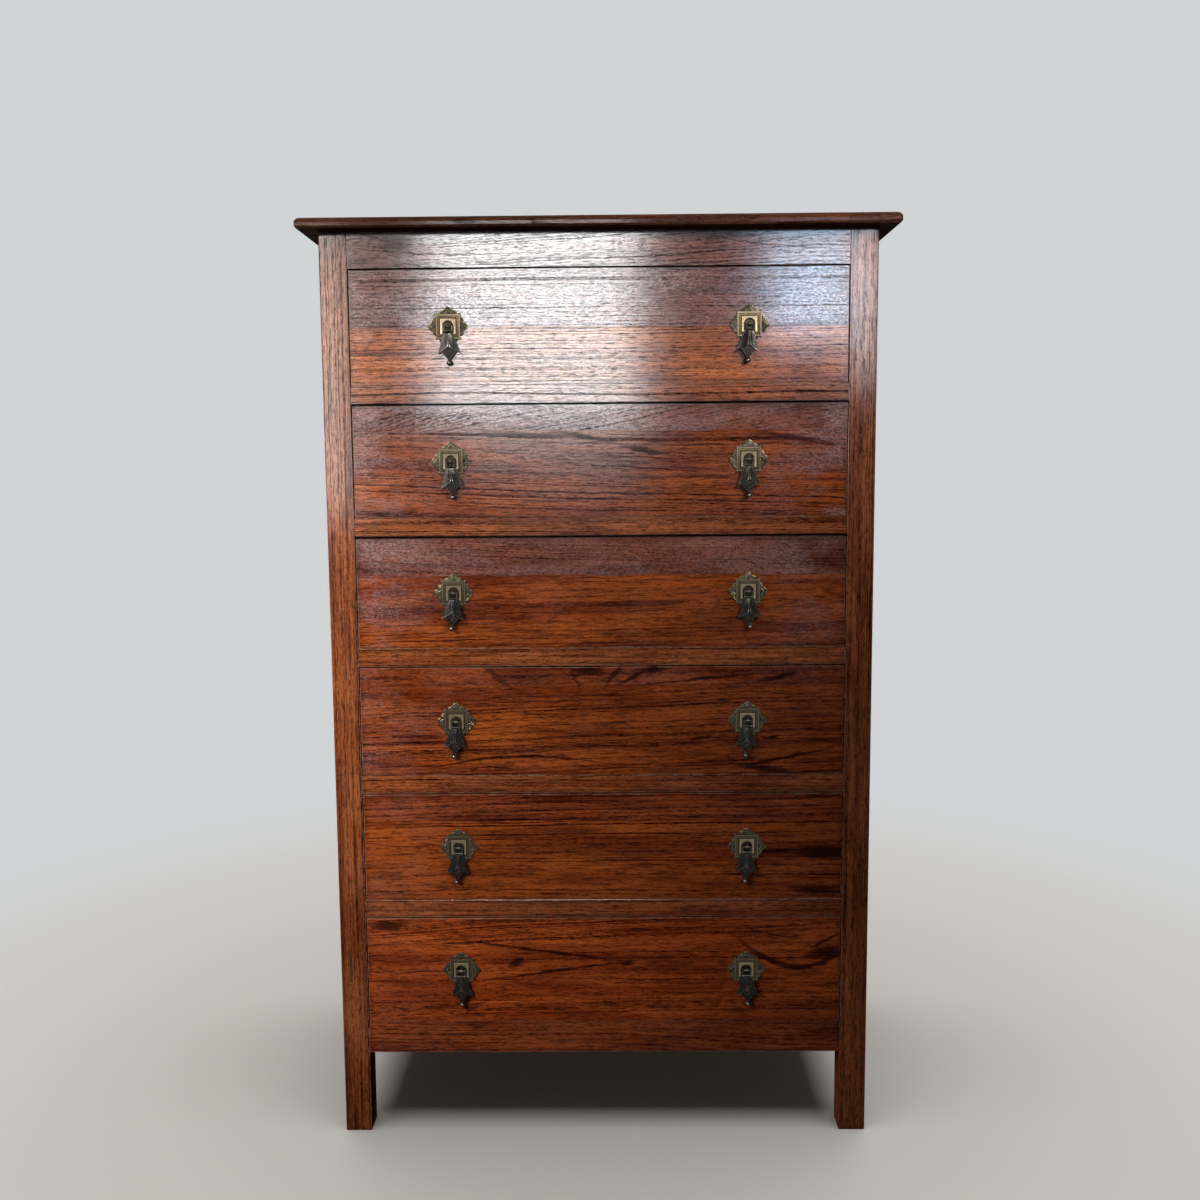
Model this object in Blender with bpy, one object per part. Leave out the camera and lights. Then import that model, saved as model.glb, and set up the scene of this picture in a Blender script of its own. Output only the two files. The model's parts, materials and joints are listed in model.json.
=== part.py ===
"""Tallboy: an oak chest of six equal drawers between four square corner posts.

Metres, +Z up. The front faces -Y. The origin is on the floor, under the middle of the whole piece.
Drawers are numbered from the top, and left is -X. Each drawer hangs from an empty that slides along -Y,
and each pendant has its origin on the pin that it swings on.
"""

import math

import bmesh
import bpy
from mathutils import Matrix, Vector

# Carcass
CASE_WIDTH = 0.762
CASE_DEPTH = 0.457
POST_WIDTH = 0.038
POST_DEPTH = 0.038
POST_ARRIS = 0.0012
LEG_HEIGHT = 0.1206
APRON_HEIGHT = 0.0464
OPENING_HEIGHT = 0.1578
DIVIDER_HEIGHT = 0.0254
FRIEZE_HEIGHT = 0.0489
FRIEZE_THICKNESS = 0.022
FRONT_RAIL_DEPTH = 0.050
REAR_RAIL_DEPTH = 0.030
DRAWER_COUNT = 6

# Top board
TOP_THICKNESS = 0.015
TOP_SIDE_OVERHANG = 0.0254
TOP_FRONT_OVERHANG = 0.028
THUMBNAIL_REACH = 0.009
THUMBNAIL_DROP = 0.0076
NOSE_HEIGHT = 0.0046
UNDERCUT_REACH = 0.0022
THUMBNAIL_STEPS = 6

# Joints of the carcass
JOINT_GAP = 0.0003
TENON_LENGTH = 0.018
TENON_SHOULDER = 0.009
FRONT_TENON_THICKNESS = 0.010
DIVIDER_TENON_HEIGHT = 0.012
DIVIDER_TENON_DEPTH = 0.024
REAR_TENON_DEPTH = 0.014
SIDE_TENON_THICKNESS = 0.008

# Sides and back
SIDE_RAIL_THICKNESS = 0.020
SIDE_RAIL_SETBACK = 0.0015
SIDE_PANEL_THICKNESS = 0.006
PANEL_GROOVE_DEPTH = 0.008
BACK_PANEL_THICKNESS = 0.005
BACK_REBATE_WIDTH = 0.012

# Runners, guides, kickers and stops
RUNNER_REACH = 0.025
GUIDE_HEIGHT = 0.012
KICKER_HEIGHT = 0.020
STOP_SPACING = 0.400
STOP_WIDTH = 0.040
STOP_DEPTH = 0.012
STOP_HEIGHT = 0.005

# Drawers
DRAWER_SIDE_GAP = 0.0013
DRAWER_HEAD_GAP = 0.0020
DRAWER_FLOOR_GAP = 0.0004
DRAWER_BACK_GAP = 0.027
FRONT_THICKNESS = 0.020
SIDE_THICKNESS = 0.010
SIDE_DROP = 0.003
DRAWER_BACK_THICKNESS = 0.010
DRAWER_BACK_DROP = 0.006
BOTTOM_THICKNESS = 0.005
BOTTOM_RISE = 0.008
BOTTOM_GROOVE_DEPTH = 0.005
DOVETAIL_COUNT = 4
DOVETAIL_WIDTH = 0.024
DOVETAIL_SLOPE = 0.16
DOVETAIL_LAP = 0.006

# Pull plates
PULL_SPACING = 0.412
PLATE_SQUARE = 0.033
PLATE_THICKNESS = 0.0015
LOBE_WIDTH = 0.026
LOBE_SHOULDER = 0.0058
LOBE_PEAK = 0.0046
LOBE_PEAK_WIDTH = 0.0104
CORNER_NUB = 0.0011
CORNER_NUB_WIDTH = 0.0020
BOSS_STEP_HEIGHT = 0.0020
BOSS_BAND_HEIGHT = 0.0028
BOSS_RIM_HEIGHT = 0.0036
BOSS_RIM_WIDTH = 0.0210
BOSS_BEVEL = 0.0006
NICHE_WIDTH = 0.0157
NICHE_FLOOR = 0.0006
NICHE_CLEARANCE = 0.0005
BOLT_RADIUS = 0.002
BOLT_END = 0.0025
NUT_RADIUS = 0.0045
NUT_THICKNESS = 0.0035
EYE_RADIUS = 0.0026
EYE_WIDTH = 0.0044

# Pendants
PIN_REACH = 0.0056
PIN_RADIUS = 0.0011
PIN_CLEARANCE = 0.00035
RING_WIDTH = 0.0142
RING_THICKNESS = 0.0022
RING_TOP = 0.0014
RING_LAP = 0.0004
WINDOW_WIDTH = 0.0079
WINDOW_DROP = 0.0078
NECK_TOP = 0.0106
NECK_WIDTH = 0.0134
GABLE_WIDTH = 0.0314
GABLE_DROP = 0.0370
GABLE_APEX = 0.0288
GABLE_FLARE = 0.0012
GABLE_TIP_HEIGHT = 0.0016
GABLE_BACK = 0.0048
RIDGE_REACH = 0.0092
RIDGE_WIDTH = 0.0022
EAVES_REACH = 0.0062
DIAMOND_WIDTH = 0.0198
DIAMOND_TOP = 0.0240
DIAMOND_SHOULDER = 0.0346
DIAMOND_TIP = 0.0470
DIAMOND_BACK = 0.0051
DIAMOND_REACH = 0.0072
BALL_RADIUS = 0.0042
BALL_HEIGHT = 0.0072
BALL_CENTRE = 0.0496

# Places that follow from the sizes
HALF_WIDTH = CASE_WIDTH / 2
OPENING_HALF = HALF_WIDTH - POST_WIDTH
RAIL_HALF = OPENING_HALF - JOINT_GAP
OPENING_PITCH = OPENING_HEIGHT + DIVIDER_HEIGHT
LOWEST_FLOOR = LEG_HEIGHT + APRON_HEIGHT
HIGHEST_HEAD = LOWEST_FLOOR + DRAWER_COUNT * OPENING_PITCH - DIVIDER_HEIGHT
CASE_HEIGHT = HIGHEST_HEAD + FRIEZE_HEIGHT
FRONT = TOP_FRONT_OVERHANG - (CASE_DEPTH + TOP_FRONT_OVERHANG) / 2
BACK = FRONT + CASE_DEPTH
REAR_RAIL_BACK = BACK - BACK_PANEL_THICKNESS - JOINT_GAP
REAR_RAIL_FRONT = REAR_RAIL_BACK - REAR_RAIL_DEPTH
SIDE_OUTER = HALF_WIDTH - SIDE_RAIL_SETBACK
SIDE_INNER = SIDE_OUTER - SIDE_RAIL_THICKNESS
SIDE_MIDDLE = (SIDE_OUTER + SIDE_INNER) / 2
PANEL_INNER = SIDE_MIDDLE - SIDE_PANEL_THICKNESS / 2
PANEL_OUTER = SIDE_MIDDLE + SIDE_PANEL_THICKNESS / 2
BETWEEN_POSTS = (FRONT + POST_DEPTH + JOINT_GAP, BACK - POST_DEPTH - JOINT_GAP)
DRAWER_HALF = OPENING_HALF - DRAWER_SIDE_GAP
DRAWER_INSIDE = DRAWER_HALF - SIDE_THICKNESS
DRAWER_DEPTH = CASE_DEPTH - BACK_PANEL_THICKNESS - DRAWER_BACK_GAP
DRAWER_FRONT_TOP = OPENING_HEIGHT - DRAWER_HEAD_GAP
DRAWER_SIDE_TOP = DRAWER_FRONT_TOP - SIDE_DROP
BOTTOM_FLOOR = DRAWER_FLOOR_GAP + BOTTOM_RISE
BOTTOM_TOP = BOTTOM_FLOOR + BOTTOM_THICKNESS
PULL_HEIGHT = OPENING_HEIGHT / 2
PLATE_FACE = JOINT_GAP + PLATE_THICKNESS
RING_FOOT = NECK_TOP + RING_LAP
NICHE_FOOT = RING_FOOT + NICHE_CLEARANCE

OVERLAP = 0.001  # how far joined shapes run into each other
PAST = 0.002  # how far a cutter runs past the face that it cuts
SIDES = (("left", -1), ("right", 1))


def opening_floor(number):
    """Height of the floor of a drawer opening, numbered from the top."""
    return LOWEST_FLOOR + (DRAWER_COUNT - number) * OPENING_PITCH


# Shapes
def box(x, y, z):
    """A box between the two values given along each axis, in either order."""
    bm = bmesh.new()
    size = Matrix.Diagonal((abs(x[1] - x[0]), abs(y[1] - y[0]), abs(z[1] - z[0]), 1))
    middle = Matrix.Translation((sum(x) / 2, sum(y) / 2, sum(z) / 2))
    bmesh.ops.create_cube(bm, size=1, matrix=middle @ size)
    return bm


def sided(side, x):
    """The same stretch along X on the left (-1) or the right (1)."""
    return side * x[0], side * x[1]


def around(middle, width):
    """The two ends of a width centred on a place."""
    return middle - width / 2, middle + width / 2


def grown(span, gap):
    """A stretch with a gap added at both ends."""
    return span[0] - gap, span[1] + gap


def loft(rings):
    """A closed solid through rings that have the same number of points."""
    bm = bmesh.new()
    loops = [[bm.verts.new(point) for point in ring] for ring in rings]
    for lower, upper in zip(loops, loops[1:]):
        for i in range(len(lower)):
            bm.faces.new((lower[i - 1], lower[i], upper[i], upper[i - 1]))
    bm.faces.new(loops[0])
    bm.faces.new(loops[-1])
    bmesh.ops.recalc_face_normals(bm, faces=bm.faces)
    return bm


def prism(outline, span, along):
    """An outline drawn square to the X, Y or Z axis and carried along it."""
    if along == "X":
        rings = [[(c, a, b) for a, b in outline] for c in span]
    elif along == "Y":
        rings = [[(a, c, b) for a, b in outline] for c in span]
    else:
        rings = [[(a, b, c) for a, b in outline] for c in span]
    return loft(rings)


def arc(centre, radii, start, end, steps):
    """Points of an elliptical arc, angles in degrees."""
    angles = [math.radians(start + (end - start) * i / steps) for i in range(steps + 1)]
    return [(centre[0] + radii[0] * math.cos(a), centre[1] + radii[1] * math.sin(a)) for a in angles]


def rod(radius, span, along, segments, place=(0, 0)):
    """A round rod along X or Y, at a place in the plane square to it."""
    outline = arc(place, (radius, radius), 0, 360, segments)[:-1]
    return prism(outline, span, along)


def temporary(bm):
    """A scene object for a shape, used up by combine."""
    mesh = bpy.data.meshes.new("shape")
    bm.to_mesh(mesh)
    bm.free()
    made = bpy.data.objects.new("shape", mesh)
    bpy.context.scene.collection.objects.link(made)
    return made


def combine(name, base, steps):
    """One mesh from a base shape and the joins and cuts that follow, in order."""
    work = temporary(base)
    tools = []
    for operation, shape in steps:
        tool = temporary(shape)
        modifier = work.modifiers.new(operation, "BOOLEAN")
        modifier.operation = operation
        modifier.object = tool
        tools.append(tool)
    graph = bpy.context.evaluated_depsgraph_get()
    mesh = bpy.data.meshes.new_from_object(work.evaluated_get(graph))
    mesh.name = name
    for used in [work, *tools]:
        bpy.data.meshes.remove(used.data)
    flatten(mesh)
    return mesh


def flatten(mesh):
    """Dissolves the edges that a join or a cut left across a flat face."""
    bm = bmesh.new()
    bm.from_mesh(mesh)
    bmesh.ops.remove_doubles(bm, verts=bm.verts, dist=1e-6)
    bmesh.ops.dissolve_limit(bm, angle_limit=math.radians(0.05), verts=bm.verts, edges=bm.edges)
    bm.to_mesh(mesh)
    bm.free()


def mesh_of(name, bm):
    """A mesh from a shape that nothing is joined to or cut from."""
    mesh = bpy.data.meshes.new(name)
    bm.to_mesh(mesh)
    bm.free()
    return mesh


def join(*shapes):
    return [("UNION", shape) for shape in shapes]


def cut(*shapes):
    return [("DIFFERENCE", shape) for shape in shapes]


# Tenons, each given by its cross-section and used for its mortise too
def frieze_tenon():
    return around(FRONT + FRIEZE_THICKNESS / 2, FRONT_TENON_THICKNESS), (
        HIGHEST_HEAD + TENON_SHOULDER,
        CASE_HEIGHT - TENON_SHOULDER,
    )


def apron_tenon():
    return around(FRONT + FRIEZE_THICKNESS / 2, FRONT_TENON_THICKNESS), (
        LEG_HEIGHT + TENON_SHOULDER,
        LOWEST_FLOOR - TENON_SHOULDER,
    )


def divider_tenon():
    """Measured from the underside of its rail."""
    return (
        around(FRONT + POST_DEPTH / 2, DIVIDER_TENON_DEPTH),
        around(DIVIDER_HEIGHT / 2, DIVIDER_TENON_HEIGHT),
    )


def rear_divider_tenon():
    """Measured from the underside of its rail."""
    return (
        around((REAR_RAIL_FRONT + REAR_RAIL_BACK) / 2, REAR_TENON_DEPTH),
        around(DIVIDER_HEIGHT / 2, DIVIDER_TENON_HEIGHT),
    )


def rear_tenon(span):
    depth = around((REAR_RAIL_FRONT + REAR_RAIL_BACK) / 2, REAR_TENON_DEPTH)
    return depth, grown(span, -TENON_SHOULDER)


def cross_tenon(side, section):
    """A tenon along X, out of the end of a rail."""
    y, z = section
    return box(sided(side, (RAIL_HALF - OVERLAP, OPENING_HALF + TENON_LENGTH)), y, z)


def cross_mortise(side, section, lift=0.0):
    y, z = (grown(span, JOINT_GAP) for span in section)
    x = (OPENING_HALF - PAST, OPENING_HALF + TENON_LENGTH + JOINT_GAP)
    return box(sided(side, x), y, (z[0] + lift, z[1] + lift))


def side_tenon(side, end, span):
    """A tenon along Y, out of the front (-1) or back (1) end of a side rail."""
    shoulder = BETWEEN_POSTS[0] if end < 0 else BETWEEN_POSTS[1]
    y = (shoulder - end * OVERLAP, shoulder + end * (JOINT_GAP + TENON_LENGTH))
    x = around(SIDE_MIDDLE, SIDE_TENON_THICKNESS)
    return box(sided(side, x), y, grown(span, -TENON_SHOULDER))


def side_mortise(side, end, span):
    shoulder = BETWEEN_POSTS[0] if end < 0 else BETWEEN_POSTS[1]
    y = (shoulder - end * PAST, shoulder + end * (2 * JOINT_GAP + TENON_LENGTH))
    x = grown(around(SIDE_MIDDLE, SIDE_TENON_THICKNESS), JOINT_GAP)
    return box(sided(side, x), y, grown(span, JOINT_GAP - TENON_SHOULDER))


# Levels of the outer rails
APRON_SPAN = (LEG_HEIGHT, LOWEST_FLOOR)
FRIEZE_SPAN = (HIGHEST_HEAD, CASE_HEIGHT - JOINT_GAP)
PANEL_SPAN = (LOWEST_FLOOR - PANEL_GROOVE_DEPTH, HIGHEST_HEAD + PANEL_GROOVE_DEPTH)
PANEL_REACH = grown(BETWEEN_POSTS, JOINT_GAP + PANEL_GROOVE_DEPTH)


def divider_levels():
    """Undersides of the dividing rails, from the top one down."""
    return [opening_floor(n) - DIVIDER_HEIGHT for n in range(1, DRAWER_COUNT)]


# Carcass
def panel_groove(side):
    """The slot round a side panel, which cuts the posts and the side rails."""
    x = grown((PANEL_INNER, PANEL_OUTER), JOINT_GAP)
    return box(sided(side, x), grown(PANEL_REACH, JOINT_GAP), grown(PANEL_SPAN, JOINT_GAP))


def post_blank(side, y):
    """A square post with the arris taken off its outer edges."""
    bm = box(sided(side, (OPENING_HALF, HALF_WIDTH)), y, (0, CASE_HEIGHT - JOINT_GAP))
    outer = [
        edge
        for edge in bm.edges
        if all(abs(abs(vert.co.x) - HALF_WIDTH) < JOINT_GAP for vert in edge.verts)
        and abs(edge.verts[0].co.z - edge.verts[1].co.z) > POST_WIDTH
    ]
    bmesh.ops.bevel(
        bm, geom=outer, offset=POST_ARRIS, segments=1, profile=0.5, affect="EDGES", material=-1
    )
    return bm


def front_post(name, side):
    mortises = [cross_mortise(side, frieze_tenon()), cross_mortise(side, apron_tenon())]
    mortises += [cross_mortise(side, divider_tenon(), level) for level in divider_levels()]
    mortises += [side_mortise(side, -1, span) for span in (APRON_SPAN, FRIEZE_SPAN)]
    blank = post_blank(side, (FRONT, FRONT + POST_DEPTH))
    return combine(name, blank, cut(*mortises, panel_groove(side)))


def back_post(name, side):
    mortises = [cross_mortise(side, rear_tenon(span)) for span in (APRON_SPAN, FRIEZE_SPAN)]
    mortises += [cross_mortise(side, rear_divider_tenon(), level) for level in divider_levels()]
    mortises += [side_mortise(side, 1, span) for span in (APRON_SPAN, FRIEZE_SPAN)]
    rebate = box(
        sided(side, (OPENING_HALF - PAST, OPENING_HALF + BACK_REBATE_WIDTH)),
        (REAR_RAIL_BACK, BACK + PAST),
        (LEG_HEIGHT - JOINT_GAP, CASE_HEIGHT + PAST),
    )
    blank = post_blank(side, (BACK - POST_DEPTH, BACK))
    return combine(name, blank, cut(*mortises, rebate, panel_groove(side)))


def top_board(name):
    """A board with a thumbnail moulding on its front and sides, and a plain back edge."""
    top = CASE_HEIGHT + TOP_THICKNESS
    nose_top = top - THUMBNAIL_DROP
    nose_foot = nose_top - NOSE_HEIGHT
    profile = [(UNDERCUT_REACH, CASE_HEIGHT), (0.0, nose_foot)]
    for x, z in arc((THUMBNAIL_REACH, 0), (-THUMBNAIL_REACH, THUMBNAIL_DROP), 0, 90, THUMBNAIL_STEPS):
        profile.append((x, nose_top + z))
    rings = []
    for inset, height in profile:
        half = HALF_WIDTH + TOP_SIDE_OVERHANG - inset
        front = FRONT - TOP_FRONT_OVERHANG + inset
        corners = [(-half, front), (half, front), (half, BACK), (-half, BACK)]
        rings.append([(x, y, height) for x, y in corners])
    return mesh_of(name, loft(rings))


def front_rail(name, depth, span, section, extra=()):
    """A rail between the front posts, with a tenon at each end."""
    rail = box((-RAIL_HALF, RAIL_HALF), (FRONT, FRONT + depth), span)
    tenons = [cross_tenon(side, section) for _, side in SIDES]
    return combine(name, rail, join(*tenons, *extra))


def stops(level):
    """The two blocks that a closing drawer front meets."""
    y = FRONT + FRONT_THICKNESS + JOINT_GAP
    z = (level - OVERLAP, level + STOP_HEIGHT)
    return [box(around(side * STOP_SPACING / 2, STOP_WIDTH), (y, y + STOP_DEPTH), z) for _, side in SIDES]


def rear_rail(span):
    return box((-RAIL_HALF, RAIL_HALF), (REAR_RAIL_FRONT, REAR_RAIL_BACK), span)


def runner(side, front, outer, span, guide_top):
    """A runner that a drawer side slides on, with the guide that fills out to the side."""
    inner_end = RAIL_HALF - RUNNER_REACH
    guide_y = (max(front, BETWEEN_POSTS[0]), BETWEEN_POSTS[1])
    return [
        box(sided(side, (inner_end, RAIL_HALF)), (front, REAR_RAIL_FRONT + OVERLAP), span),
        box(sided(side, (RAIL_HALF - OVERLAP, outer)), guide_y, span),
        box(sided(side, (RAIL_HALF, outer)), guide_y, (span[0] + OVERLAP, guide_top)),
    ]


def drawer_frame(name):
    """A dividing rail with its runners, guides, stops and rear rail, from its underside up."""
    span = (0, DIVIDER_HEIGHT)
    rail = box((-RAIL_HALF, RAIL_HALF), (FRONT, FRONT + FRONT_RAIL_DEPTH), span)
    joined = [rear_rail(span)]
    for _, side in SIDES:
        joined += [cross_tenon(side, divider_tenon()), cross_tenon(side, rear_divider_tenon())]
        joined += runner(
            side,
            FRONT + FRONT_RAIL_DEPTH - OVERLAP,
            PANEL_INNER - JOINT_GAP,
            span,
            DIVIDER_HEIGHT + GUIDE_HEIGHT,
        )
    return combine(name, rail, join(*joined, *stops(DIVIDER_HEIGHT)))


def side_rail(side, span):
    """A side rail with its tenons."""
    rail = box(sided(side, (SIDE_INNER, SIDE_OUTER)), BETWEEN_POSTS, span)
    return [rail, side_tenon(side, -1, span), side_tenon(side, 1, span)]


def outer_frame(name, span, strips, grooves):
    """A rear rail joined to the side rails, with strips along them and the panel grooves cut."""
    joined = list(strips)
    for _, side in SIDES:
        joined += [cross_tenon(side, rear_tenon(span)), *side_rail(side, span)]
    return combine(name, rear_rail(span), join(*joined) + cut(*grooves))


def bottom_frame(name):
    """Bottom side rails and rear rail, with the runners of the lowest drawer."""
    front = FRONT + max(POST_DEPTH, FRONT_RAIL_DEPTH) + JOINT_GAP
    runner_span = (LOWEST_FLOOR - DIVIDER_HEIGHT, LOWEST_FLOOR)
    strips = []
    for _, side in SIDES:
        strips += runner(side, front, SIDE_INNER + OVERLAP, runner_span, LOWEST_FLOOR + GUIDE_HEIGHT)
    return outer_frame(name, APRON_SPAN, strips, [panel_groove(side) for _, side in SIDES])


def top_frame(name):
    """Top side rails and rear rail, with the kickers over the highest drawer."""
    span = (HIGHEST_HEAD, HIGHEST_HEAD + KICKER_HEIGHT)
    front = FRONT + FRIEZE_THICKNESS + JOINT_GAP
    strips = []
    for _, side in SIDES:
        inner = (RAIL_HALF - RUNNER_REACH, RAIL_HALF)
        strips.append(box(sided(side, inner), (front, REAR_RAIL_FRONT + OVERLAP), span))
        strips.append(box(sided(side, (RAIL_HALF - OVERLAP, SIDE_INNER + OVERLAP)), BETWEEN_POSTS, span))
    return outer_frame(name, FRIEZE_SPAN, strips, [panel_groove(side) for _, side in SIDES])


def side_panel(name, side):
    return mesh_of(name, box(sided(side, (PANEL_INNER, PANEL_OUTER)), PANEL_REACH, PANEL_SPAN))


def back_panel(name):
    half = OPENING_HALF + BACK_REBATE_WIDTH - JOINT_GAP
    y = (BACK - BACK_PANEL_THICKNESS, BACK)
    return mesh_of(name, box((-half, half), y, (LEG_HEIGHT, CASE_HEIGHT - JOINT_GAP)))


# Drawers, measured from the middle of the opening's floor, at the front
def dovetail(side, number, gap):
    """One tail of a drawer side, or with a gap the socket that takes it."""
    pitch = (DRAWER_SIDE_TOP - DRAWER_FLOOR_GAP) / DOVETAIL_COUNT
    middle = DRAWER_FLOOR_GAP + pitch * (number + 0.5)
    tip = DOVETAIL_LAP - gap
    root = FRONT_THICKNESS + JOINT_GAP + OVERLAP
    half = DOVETAIL_WIDTH / 2 + gap
    narrowing = DOVETAIL_SLOPE * (root - DOVETAIL_LAP)
    outline = [
        (tip, middle - half),
        (tip, middle + half),
        (root, middle + half - narrowing),
        (root, middle - half + narrowing),
    ]
    outer = DRAWER_HALF + PAST if gap else DRAWER_HALF
    return prism(outline, sided(side, (DRAWER_INSIDE - gap, outer)), "X")


def drawer_front(name):
    blank = box((-DRAWER_HALF, DRAWER_HALF), (0, FRONT_THICKNESS), (DRAWER_FLOOR_GAP, DRAWER_FRONT_TOP))
    groove_half = DRAWER_INSIDE + BOTTOM_GROOVE_DEPTH + JOINT_GAP
    groove = box(
        (-groove_half, groove_half),
        (FRONT_THICKNESS - BOTTOM_GROOVE_DEPTH - JOINT_GAP, FRONT_THICKNESS + PAST),
        grown((BOTTOM_FLOOR, BOTTOM_TOP), JOINT_GAP),
    )
    cuts = [groove]
    for _, side in SIDES:
        cuts += [dovetail(side, number, JOINT_GAP) for number in range(DOVETAIL_COUNT)]
        place = (side * PULL_SPACING / 2, PULL_HEIGHT)
        cuts.append(rod(BOLT_RADIUS + JOINT_GAP, (-PAST, FRONT_THICKNESS + PAST), "Y", 8, place))
    return combine(name, blank, cut(*cuts))


def drawer_box(name):
    """The two sides and the back of a drawer, which come apart from its front and bottom."""
    level = (BOTTOM_TOP + JOINT_GAP, DRAWER_SIDE_TOP - DRAWER_BACK_DROP)
    back_y = (DRAWER_DEPTH - DRAWER_BACK_THICKNESS, DRAWER_DEPTH)
    back_half = DRAWER_INSIDE + OVERLAP
    back = box((-back_half, back_half), back_y, level)
    joined = []
    grooves = []
    for _, side in SIDES:
        board_y = (FRONT_THICKNESS + JOINT_GAP, DRAWER_DEPTH)
        board_z = (DRAWER_FLOOR_GAP, DRAWER_SIDE_TOP)
        joined.append(box(sided(side, (DRAWER_INSIDE, DRAWER_HALF)), board_y, board_z))
        joined += [dovetail(side, number, 0) for number in range(DOVETAIL_COUNT)]
        groove_x = (DRAWER_INSIDE - PAST, DRAWER_INSIDE + BOTTOM_GROOVE_DEPTH + JOINT_GAP)
        groove_y = (FRONT_THICKNESS - BOTTOM_GROOVE_DEPTH - JOINT_GAP, DRAWER_DEPTH + PAST)
        groove_z = grown((BOTTOM_FLOOR, BOTTOM_TOP), JOINT_GAP)
        grooves.append(box(sided(side, groove_x), groove_y, groove_z))
    return combine(name, back, join(*joined) + cut(*grooves))


def drawer_bottom(name):
    half = DRAWER_INSIDE + BOTTOM_GROOVE_DEPTH
    y = (FRONT_THICKNESS - BOTTOM_GROOVE_DEPTH, DRAWER_DEPTH)
    return mesh_of(name, box((-half, half), y, (BOTTOM_FLOOR, BOTTOM_TOP)))


# Pulls, measured from the middle of the plate's back
def lobe():
    """One side of the plate's outline: two shoulders and a peak, from left to right."""
    edge = PLATE_SQUARE / 2
    peak_half = LOBE_PEAK_WIDTH / 2
    shoulder = (LOBE_WIDTH / 2 - peak_half, LOBE_SHOULDER)
    peak = arc((0, edge + LOBE_SHOULDER), (peak_half, LOBE_PEAK), 180, 0, 4)
    return [
        *arc((-peak_half, edge), shoulder, 180, 90, 2)[:-1],
        *peak,
        *arc((peak_half, edge), shoulder, 90, 0, 2)[1:],
    ]


def plate_outline():
    """The lobe repeated on the four sides, with a nub at each corner of the square."""
    corner = PLATE_SQUARE / 2
    nub = corner + CORNER_NUB
    near = corner - CORNER_NUB_WIDTH
    side = [*lobe(), (near, corner), (nub, nub), (corner, near)]
    points = []
    for quarter in range(4):
        turn = Matrix.Rotation(-quarter * math.pi / 2, 2)
        points += [tuple(turn @ Vector(point)) for point in side]
    return points


def square_ring(half, reach):
    return [(x * half, -reach, z * half) for x, z in ((-1, -1), (1, -1), (1, 1), (-1, 1))]


def pull_plate(name):
    """The plate, with its boss, arched niche, eye, bolt and nut."""
    sheet = prism(plate_outline(), (-JOINT_GAP, -PLATE_FACE), "Y")
    edge = PLATE_SQUARE / 2 - BOSS_BEVEL
    rim = BOSS_RIM_WIDTH / 2
    boss = loft(
        [
            square_ring(edge, PLATE_FACE - PLATE_THICKNESS / 2),
            square_ring(edge, PLATE_FACE),
            square_ring(edge - BOSS_BEVEL, PLATE_FACE + BOSS_STEP_HEIGHT),
            square_ring(rim + BOSS_BEVEL, PLATE_FACE + BOSS_BAND_HEIGHT),
            square_ring(rim, PLATE_FACE + BOSS_RIM_HEIGHT),
        ]
    )
    niche_half = NICHE_WIDTH / 2
    arch = [
        (niche_half, -NICHE_FOOT),
        *arc((0, 0), (niche_half, niche_half), 0, 180, 8),
        (-niche_half, -NICHE_FOOT),
    ]
    floor = JOINT_GAP + NICHE_FLOOR
    niche = prism(arch, (-floor, -PLATE_FACE - BOSS_RIM_HEIGHT - PAST), "Y")
    root = -JOINT_GAP - NICHE_FLOOR / 2
    head = arc((-PIN_REACH, 0), (EYE_RADIUS, EYE_RADIUS), 90, 270, 6)
    eye_outline = [(root, EYE_RADIUS), *head, (root, -EYE_RADIUS)]
    eye = prism(eye_outline, around(0, EYE_WIDTH), "X")
    hole = rod(PIN_RADIUS + PIN_CLEARANCE, around(0, EYE_WIDTH + PAST), "X", 8, (-PIN_REACH, 0))
    nut_start = FRONT_THICKNESS + JOINT_GAP
    nut = rod(NUT_RADIUS, (nut_start, nut_start + NUT_THICKNESS), "Y", 6)
    bolt_end = nut_start + NUT_THICKNESS + BOLT_END
    bolt = rod(BOLT_RADIUS, (root, bolt_end), "Y", 8)
    steps = join(boss) + cut(niche) + join(eye) + cut(hole) + join(bolt, nut)
    return combine(name, sheet, steps)


# Pendants, measured from the pin
def gable_outline():
    """The flared shape from the neck down to the eaves, with the inverted V between them."""
    neck = NECK_WIDTH / 2
    tip = GABLE_WIDTH / 2
    tip_top = GABLE_DROP - GABLE_TIP_HEIGHT
    middle = ((neck + tip) / 2 - GABLE_FLARE, -(NECK_TOP + tip_top) / 2)
    right = [(neck, -NECK_TOP), middle, (tip, -tip_top), (tip, -GABLE_DROP)]
    left = [(-x, z) for x, z in reversed(right)]
    return [*right, (0, -GABLE_APEX), *left]


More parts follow.
